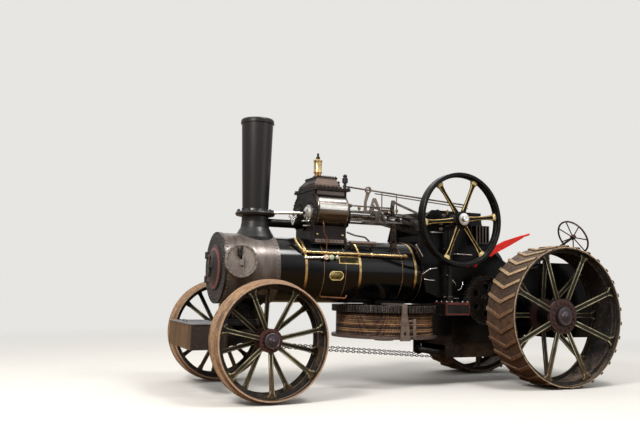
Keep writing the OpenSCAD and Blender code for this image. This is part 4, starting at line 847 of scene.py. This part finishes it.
def strips(spans, steps, across=4):  # thin painted strips over the spokes: (from, to, inner share, outer share)
    points, faces, line = [], [], across + 1
    for i in range(flywheel["arms"]):
        for s0, s1, inner, outer in spans:
            base = len(points)
            for k in range(steps + 1):
                s = s0 + (s1 - s0) * k / steps
                points += [onSpoke(i, s, inner + (outer - inner) * n / across) for n in range(line)]
            corners = [base + k * line + n for k in range(steps) for n in range(across)]
            faces += [(c, c + 1, c + line + 1, c + line) for c in corners]
    return points, faces


linings = ((.135, .60, .60, .86), (.135, .60, -.86, -.60))
keep("flywheelLining", sheet(*strips(linings, 16), painted["depth"]), lineGold, "flywheel", "flywheel")
keep("flywheelGoldEnds", sheet(*strips([(.585, .642, -.8, .8)], 6), .0012), goldPatch, "flywheel", "flywheel")
keep("flywheelHubDisc", lathe([(.09, 0), (.09, .004), (.07, .010), (.044, .011), (.0425, .004)],
                              (flywheel["x"], flywheel["discFoot"], flywheel["z"]), left, 40), silver, "flywheel",
     "flywheel")
keep("flywheelShaftEnd", lathe([(.042, 0), (.042, .006), (.036, .012), (.014, .013), (.010, .008), (.004, .008)],
                               (flywheel["x"], flywheel["endFoot"], flywheel["z"]), left, 32), silver, "crankshaft")
print("flywheel cast and lined")

# boiler: thin lining rings, the rims and fields of the blank plates
boiler = {"axis": 1.68, "inner": .464, "outer": .4694, "rings": (3.63, 3.29, 2.35, 2.02), "ringWide": .006}
ringShape = [(boiler["inner"], 0), (boiler["outer"], 0), (boiler["outer"], boiler["ringWide"]),
             (boiler["inner"], boiler["ringWide"])]
keep("boilerLiningRings", [lathe(ringShape, (x, 0, boiler["axis"]), front, 96) for x in boiler["rings"]], lineCream,
     "boiler_barrel")
plate = {"x": 3.44, "z": 1.6, "half": .045, "end": .066, "lift": .4755}


def plateOutline(grow, count=16):
    spots = []
    for side, start in ((1, -90), (-1, 90)):
        for a in [math.radians(start + 180 * i / count) for i in range(count + 1)]:
            x = plate["x"] + side * plate["half"] + (plate["end"] + grow) * math.cos(a)
            z = plate["z"] + (plate["end"] + grow) * math.sin(a)
            spots.append((x, math.sqrt(plate["lift"] ** 2 - (z - boiler["axis"]) ** 2), z))
    return spots


rimPath = plateOutline(-.006)
pipework("ovalPlateRim", [rimPath + rimPath[:1]], .007, goldPatch, "boiler_brass", bend=.0, sides=8)
field = [at(*p) + left * .0012 for p in plateOutline(-.016)]
middlePoint = sum(field, Vector()) / len(field) + left * .001
keep("ovalPlateField", sheet(field + [middlePoint], [(i, (i + 1) % len(field), len(field)) for i in range(len(field))],
                             .001), bronzeField, "boiler_brass")
print("boiler lined")

# cylinders: polished cover discs, tail rod and hanger in front, cladding straps
coverDisc = [(.121, 0), (.121, .024), (.099, .028), (.091, .053), (.063, .073), (.03, .0795)]
disc, farDisc = [lathe(coverDisc, (3.7595, s * cylinder["y"], cylinder["z"]), front, 48) for s in (1, -1)]
keep("farCoverDisc", farDisc, blockIron, cylinder["block"])
tailRod = [lathe([(.021, 0), (.021, .466), (.018, .47)], (3.84, .19, 2.496), (.998, 0, -.055), 16),
           lathe([(.022, 0), (.031, .006), (.031, .034), (.022, .04)], (4.0, .19, 2.487), front, 20)]
hanger = [bar((4.07, .19, 2.47), (4.02, .19, 2.315), (.026, .016), .014),
          bar((3.97, .19, 2.47), (4.02, .19, 2.315), (.026, .016), .014),
          bar((3.955, .19, 2.43), (4.085, .19, 2.43), (.018, .018), .016)]
keep("claddingTopSheets", blocks(pair(((3.272, .3295, 2.752), (3.708, .3335, 2.829))), .0015), cladSteel,
     "cylinder_cladding")
keep("footStrips", blocks(pair(((3.29, .357, 2.07), (3.735, .373, 2.12)))), greyIron, cylinder["block"])
oiler = [(.05, 0), (.05, .012), (.022, .02), (.022, .09), (.042, .10), (.042, .165), (.028, .175), (.028, .19),
         (.036, .2), (.02, .222)]
keep("cylinderLubricator", lathe(oiler, (3.262, .33, 2.864), up), handleBlack, cylinder["block"])
keep("cylinderFrontBrightwork", [disc] + tailRod + hanger, silver, cylinder["block"])
pipework("cylinderDrainStems", [[(3.752, .19, 2.385), (3.88, .19, 2.378)], [(3.752, .2, 2.318), (3.862, .2, 2.312)],
                                [(3.752, -.19, 2.385), (3.88, -.19, 2.378)]], .013, silver, cylinder["block"])
cladding = {"y": .19, "z": 2.54, "radius": .2635, "sweep": 56, "straps": ((3.25, 3.272), (3.708, 3.731)),
            "thick": .003, "screws": (3.261, 3.7195), "screwR": .265, "screwTurns": (-50, -30, -10, 10, 30, 50)}


def claddingStraps(count=24):
    points, faces = [], []
    for s in (1, -1):
        for ends in cladding["straps"]:
            base = len(points)
            for i in range(count + 1):
                a = math.radians(-cladding["sweep"] + 2 * cladding["sweep"] * i / count)
                y = cladding["y"] + cladding["radius"] * math.cos(a)
                z = cladding["z"] + cladding["radius"] * math.sin(a)
                points += [at(x, s * y, z) for x in ends]
            faces += [(c, c + 1, c + 3, c + 2) for c in range(base, base + 2 * count, 2)]
    return points, faces


keep("claddingStraps", sheet(*claddingStraps(), cladding["thick"]), brightSteel, "cylinder_cladding")
outwards = [Vector((0, math.cos(a), math.sin(a))) for a in map(math.radians, cladding["screwTurns"])]
studs("claddingScrews", "smallRivet", both([(at(x, cladding["y"], cladding["z"]) + d * cladding["screwR"], d)
                                            for x in cladding["screws"] for d in outwards]), brightSteel,
      "cylinder_cladding")
print("cylinders done")

# motion: oil cups, crosshead nuts, drain cocks
cupShape = [(.008, 0), (.008, .02), (.02, .026), (.024, .05), (.022, .066), (.01, .07), (.006, .084)]
cups = {"onBoth": ((2.95, .19, 2.576), (2.42, .19, 2.576), (2.3, .19, 2.576)),
        "single": ((1.616, .54, 2.578), (1.616, -.5, 2.578), (1.66, .306, 2.572), (1.574, .33, 2.572))}
cupSpots = [(x, s * y, z) for s in (1, -1) for x, y, z in cups["onBoth"]] + list(cups["single"])
keep("oilCups", [lathe(cupShape, p, up, 14) for p in cupSpots], rubbedBrass, "boiler_fittings")
knob = [(.006, -.02), (.006, .012), (.016, .016), (.018, .026), (.012, .034)]
keep("drainCocks", [lathe(knob, (x, s * .33, 2.19), left * s, 12) for s in (1, -1) for x in (3.30, 3.70)], rubbedBrass,
     cylinder["block"])
studs("crossheadNuts", "nut", both([(at(x, y, z), left) for x, y, z in (
    (2.54, .247, 2.5), (2.58, .224, 2.57), (3.12, .224, 2.57), (2.26, .224, 2.5))]), silver, "slide_bars")
print("motion done")

# pipes
pipework("boilerRail", [[(3.93, .434, 1.926), (3.12, .447, 1.921), (2.30, .462, 1.916)]], .019, rubbedBrass)
railFeet = ((3.93, .434, 1.926), (3.40, .443, 1.923), (2.86, .453, 1.920), (2.30, .462, 1.916))
railFoot = [(.03, 0), (.03, .012), (.024, .018), (.024, .05), (.018, .056)]
keep("railFeet", [lathe(railFoot, (x, y - .035, z), left, 18) for x, y, z in railFeet], rubbedBrass, "boiler_fittings")
pipework("thickBrassPipe", [[(4.05, .352, 2.12), (4.03, .375, 2.06), (3.98, .415, 1.97), (3.93, .434, 1.93)]], .021,
         rubbedBrass, bend=.06, sides=16)
pipework("brassPipes", [[(3.15, .35, 2.09), (3.12, .40, 2.05), (3.10, .44, 1.97), (3.08, .45, 1.93)]], .011,
         rubbedBrass)
pipework("steelPipes", [[(3.22, .33, 2.24), (3.10, .34, 2.20), (2.92, .33, 2.18), (2.85, .335, 2.12)]], .013,
         brightSteel)
pipework("underPipe", [[(3.64, .33, 1.36), (3.62, .31, 1.303), (3.22, .31, 1.284), (3.20, .30, 1.33)]], .013, copper,
         bend=.03)
pipework("waterPipe", [[(3.93, .40, 1.842), (3.92, .46, 1.842), (3.60, .462, 1.856)]], .017, silver, bend=.03,
         sides=16)
pipework("copperPipes", [[(3.64, .385, 2.385), (3.64, .435, 2.34), (3.638, .44, 2.22), (3.577, .42, 2.12),
                          (3.575, .395, 1.94)],
                         [(3.255, .09, 2.94), (3.33, .09, 2.96), (3.42, .16, 2.93), (3.46, .19, 2.90)],
                         [(.40, -.15, 1.99), (.34, -.18, 2.02), (.30, -.30, 1.94), (.32, -.42, 1.70)],
                         [(.38, .12, 2.07), (.42, .12, 2.12), (.52, .12, 2.13)]], .008, copper)
knobFace = [(.037, -.012), (.037, .004), (.032, .010), (.012, .012), (.010, .018), (.004, .02)]
for label, x, face in (("Front", 3.622, palePink), ("Rear", 3.540, paleGreen)):
    keep("checkKnob" + label, lathe(knobFace, (x, .508, 1.858), left, 28), face, "boiler_fittings")
keep("thirdCheckKnob", lathe([(.018, 0), (.018, .04), (.026, .05), (.026, .07), (.012, .078)], (3.447, .42, 1.862),
                             left), silver, "boiler_fittings")
valveShell = [(.058, 0), (.066, .008), (.066, .02), (.060, .03), (.060, .17), (.067, .176), (.067, .196), (.05, .21)]
keep("safetyValveShell", lathe(valveShell, (3.555, 0, 3.125), up, 32), rubbedBrass, "safety_valve")
pipework("silverPipes", [[(2.035, .512, 1.925), (2.16, .525, 2.095)],
                         [(2.03, .505, 1.66), (2.0, .55, 1.70), (1.93, .56, 1.742), (1.80, .55, 1.757),
                          (1.78, .505, 1.757)],
                         [(2.0, .503, 1.588), (1.96, .54, 1.575), (1.84, .54, 1.57), (1.82, .503, 1.57)],
                         [(1.47, .503, 1.98), (1.44, .55, 1.98), (1.16, .55, 1.977), (1.13, .503, 1.977)],
                         [(1.40, .503, 1.846), (1.36, .56, 1.846), (1.12, .56, 1.846)],
                         [(1.62, .53, 1.305), (1.40, .53, 1.305)],
                         [(1.60, .503, 1.66), (1.56, .53, 1.62), (1.46, .53, 1.53), (1.44, .503, 1.50)],
                         [(1.31, .503, 1.56), (1.33, .53, 1.52), (1.36, .53, 1.45), (1.40, .503, 1.43)]], .009, silver,
         bend=.03)
print("pipes run")

# small hand wheel beside the flywheel shaft, gauge, rack and handle
tapWheel = {"place": (1.118, .56, 1.846), "radius": .05, "arm": .046, "turns": (.4, 1.97), "bar": .008}


def radial(place, a, inner, outer, *sizes):  # a bar along a radius, square to the front
    x, y, z = place
    return bar(*[(x, y + r * math.cos(a), z + r * math.sin(a)) for r in (inner, outer)], *sizes, front)


keep("redTapWheel", [ringTube(tapWheel["place"], front, tapWheel["radius"], tapWheel["bar"]),
                     bar((1.27, .585, 1.79), (1.09, .575, 1.889), (.016, .012), .010)]
     + [radial(tapWheel["place"], a, -tapWheel["arm"], tapWheel["arm"], (.01, .01), tapWheel["bar"])
        for a in tapWheel["turns"]], leverRed, "boiler_fittings")
gauge = {"place": (.3535, .12, 1.985), "radius": .072, "marks": (.056, .066), "rim": (.077, .007)}


def gaugeMeshes():
    x, y, z = gauge["place"]
    near, far = gauge["marks"]
    dial = lathe([(gauge["radius"], -.002), (gauge["radius"], .001), (.01, .0015)], gauge["place"], -front, 32)
    marks = [bar((x - .0025, y + near * math.sin(a), z + near * math.cos(a)),
                 (x - .0025, y + far * math.sin(a), z + far * math.cos(a)), (.003, .003), .0016, front)
             for a in [math.radians(d) for d in range(-130, 131, 20)]]
    marks.append(bar((x - .004, y, z), (x - .004, y - .04, z + .03), (.007, .002), .002, front))
    return dial, marks, ringTube((x - .002, y, z), front, *gauge["rim"], 32)


dial, marks, rim = gaugeMeshes()
for name, mesh, face in (("Dial", dial, dialWhite), ("Marks", marks, inkBlack), ("Rim", rim, rubbedBrass)):
    keep("gauge" + name, mesh, face, "boiler_fittings")
studs("reversingRack", "smallNut", row((1.677, horn["face"], 2.30), (1.887, horn["face"], 2.30), 9, left), silver,
      "hornplates")
saddle = ringAround("z", (stack["x"], 0, stack["saddle"]), stack["saddleR"], 20, up)
studs("saddleNuts", "smallNut", [s for s in saddle if s[0].x < stack["saddleEnd"] - midX], stackBlack, "chimney")
keep("sideCoverHandle", [lathe([(.03, 0), (.03, .010), (.02, .016), (.016, .024)], (4.90, .5305, 1.85), left, 20)]
     + [bar(*sizes) for sizes in (((4.888, .548, 1.78), (4.884, .548, 1.965), (.034, .026), .016),
                                  ((4.925, .546, 1.83), (4.93, .546, 1.935), (.026, .022), .014),
                                  ((4.94, .546, 1.84), (4.87, .546, 1.825), (.02, .02), .014))], handleBlack,
     "smokebox_side_cover")
print("small fittings done")


# red lining on the hood over the drum pinion
def hoodLines():
    inset, wide, side, nose = hood["inset"], hood["wide"], hood["side"], hood["nose"]
    x0, x1, z0, z1 = hood["back"] + inset, nose - inset, hood["low"] + inset, hood["top"] - inset
    y0, y1 = hood["inner"] + inset, side - inset
    onSide = [((a, side - .001, b), (c, side + .0012, d)) for a, b, c, d in (
        (x0, z0, x1, z0 + wide * 2.5), (x0, z1 - wide * 4, x1, z1), (x0, z0, x0 + wide, z1), (x1 - wide, z0, x1, z1))]
    onNose = [((nose - .001, y, z), (nose + .0012, y1, z1)) for y, z in ((y0, z1 - wide), (y1 - wide, z0))]
    return blocks(onSide + onNose, .0004)


keep("hoodRedLining", hoodLines(), lineRed, "drum_shaft")

# steering chains in place of their plain bars, with the roller that winds them
steering = {"x": 1.55, "z": .47, "reach": .44, "turnR": .056, "wound": .010,
            "run": ((1.55, .36, .413), (4.603, .42, .64))}
link = {"pitch": .045, "linkWide": .0145, "wire": .0058}
linkPiece = keep("steeringChainLinks", grown(*runsOf(pair(steering["run"])), chains, link, chainIron), chainIron,
                 "steering_chains")
rollerShape = [(.036, 0), (.036, .04), (.044, .05), (.044, .16), (.05, .164), (.05, .176), (.044, .18), (.044, .70),
               (.05, .704), (.05, .716), (.044, .72), (.044, .83), (.036, .84), (.036, .88)]
roller = lathe(rollerShape, (steering["x"], -steering["reach"], steering["z"]), left, 28)
hangers = blocks(pair(((1.45, .439, .43), (1.59, .466, .6395))), .004)
woundTurns = [ringTube((steering["x"], s * (.33 + .02 * k), steering["z"]), left, steering["turnR"], steering["wound"],
                       20, 6) for s in (1, -1) for k in range(4)]
rollerPiece = keep("steeringRoller", [roller, hangers] + woundTurns, chainIron, "steering_chains")
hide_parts("steering_chains")
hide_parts("steering_chains")
print("steering chains linked")

# tool box: corner irons and lips
toolBox = {"low": .612, "top": .927, "half": .6, "corners": ((5.538, .575, .611), (5.5465, .611, .928)),
           "sideIrons": (5.083, 5.523), "iron": .018}
lips = [((5.5385, -toolBox["half"], low), (5.5455, toolBox["half"], high))
        for low, high in ((toolBox["low"], .632), (.905, toolBox["top"]))]
sideIrons = [iron for x in toolBox["sideIrons"] for iron in pair(((x - toolBox["iron"], .608, toolBox["low"]),
                                                                  (x + toolBox["iron"], .6145, toolBox["top"])))]
keep("toolBoxIrons", blocks(pair(toolBox["corners"]) + lips + sideIrons), boxRustAndShade, "tool_box", "fore_carriage")
print("tool box bound")

# studio
studio = {"floor": (226, 223, 218), "bounce": (128, 104, 74), "glow": (236, 235, 232), "glowing": .95, "size": 70,
          "fade": (6, 15), "sky": (0, .55, .05, 1.0), "mirrorShare": .18}
# name, place, what it is aimed at, size, power and warmth of each lamp
lamps = (("keyLamp", (10, 6, 9.5), (0, 0, 1.5), 3.5, 1350, (1, .97, .93)),
         ("fillLamp", (-7, 10, 5), (0, 0, 1.5), 7, 110, (.94, .97, 1)),
         ("overheadLamp", (-1.3, 5.6, 11.6), (0, 0, 1.5), 3, 620, (1, .99, .97)),
         ("backLamp", (-4, -9, 8), (0, 0, 2), 6, 150, (.96, .98, 1)))


def seenRays(tree):  # 1 where the camera or glass looks, a share where polished metal does
    path = put(tree, "ShaderNodeLightPath").outputs
    shiny = times(tree, path["Is Glossy Ray"], studio["mirrorShare"])
    mirrored = maths(tree, "MAXIMUM", path["Is Camera Ray"], shiny)
    return path["Is Camera Ray"], maths(tree, "MAXIMUM", mirrored, path["Is Transmission Ray"])


def paleFloor():
    mat = bpy.data.materials.new("paleFloor")
    tree = cleared(mat)
    where = put(tree, "ShaderNodeTexCoord").outputs["Object"]
    straight, seen = seenRays(tree)
    pale = mixTone(tree, noise(tree, where, .8), tone(*studio["floor"]), tone(*[c - 7 for c in studio["floor"]]))
    colour = mixTone(tree, straight, tone(*studio["bounce"]), pale)
    lit = put(tree, "ShaderNodeBsdfPrincipled", {"Base Color": colour, "Roughness": .9, "Specular IOR Level": .2})
    glow = put(tree, "ShaderNodeEmission", {"Color": tone(*studio["glow"]), "Strength": studio["glowing"]})
    far = times(tree, ramp(tree, distance(tree, where, (0, 0, 0), 2), *studio["fade"]), seen)
    shade = put(tree, "ShaderNodeMixShader", {0: far, 1: lit.outputs[0], 2: glow.outputs[0]})
    tree.links.new(shade.outputs[0], put(tree, "ShaderNodeOutputMaterial").inputs[0])
    return mat


def stageSet():
    s = studio["size"]
    floorMesh = meshOf([(-s, -s, 0), (s, -s, 0), (s, s, 0), (-s, s, 0)], [(0, 1, 2, 3)])
    floorMesh.materials.append(paleFloor())
    floor = placed("floor", floorMesh)
    world = bpy.data.worlds.new("studioSky")
    bpy.context.scene.world = world
    tree = cleared(world)
    seen = seenRays(tree)[1]
    height = part(tree, put(tree, "ShaderNodeTexCoord").outputs["Generated"], 2)
    sky = ramp(tree, height, *studio["sky"])
    strength = put(tree, "ShaderNodeMix", {0: seen, 2: sky, 3: studio["glowing"]}, data_type="FLOAT").outputs[0]
    glow = put(tree, "ShaderNodeBackground", {"Color": tone(*studio["glow"]), "Strength": strength})
    tree.links.new(glow.outputs[0], put(tree, "ShaderNodeOutputWorld").inputs[0])
    for name, place, aim, size, power, warm in lamps:
        lamp = bpy.data.lights.new(name, "AREA")
        lamp.energy, lamp.size, lamp.color = power, size, warm
        holder = placed(name, lamp)
        holder.location = place
        holder.rotation_euler = (Vector(aim) - Vector(place)).to_track_quat("-Z", "Y").to_euler()
    bpy.context.scene.view_settings.view_transform = "Standard"


stageSet()
print("studio set")
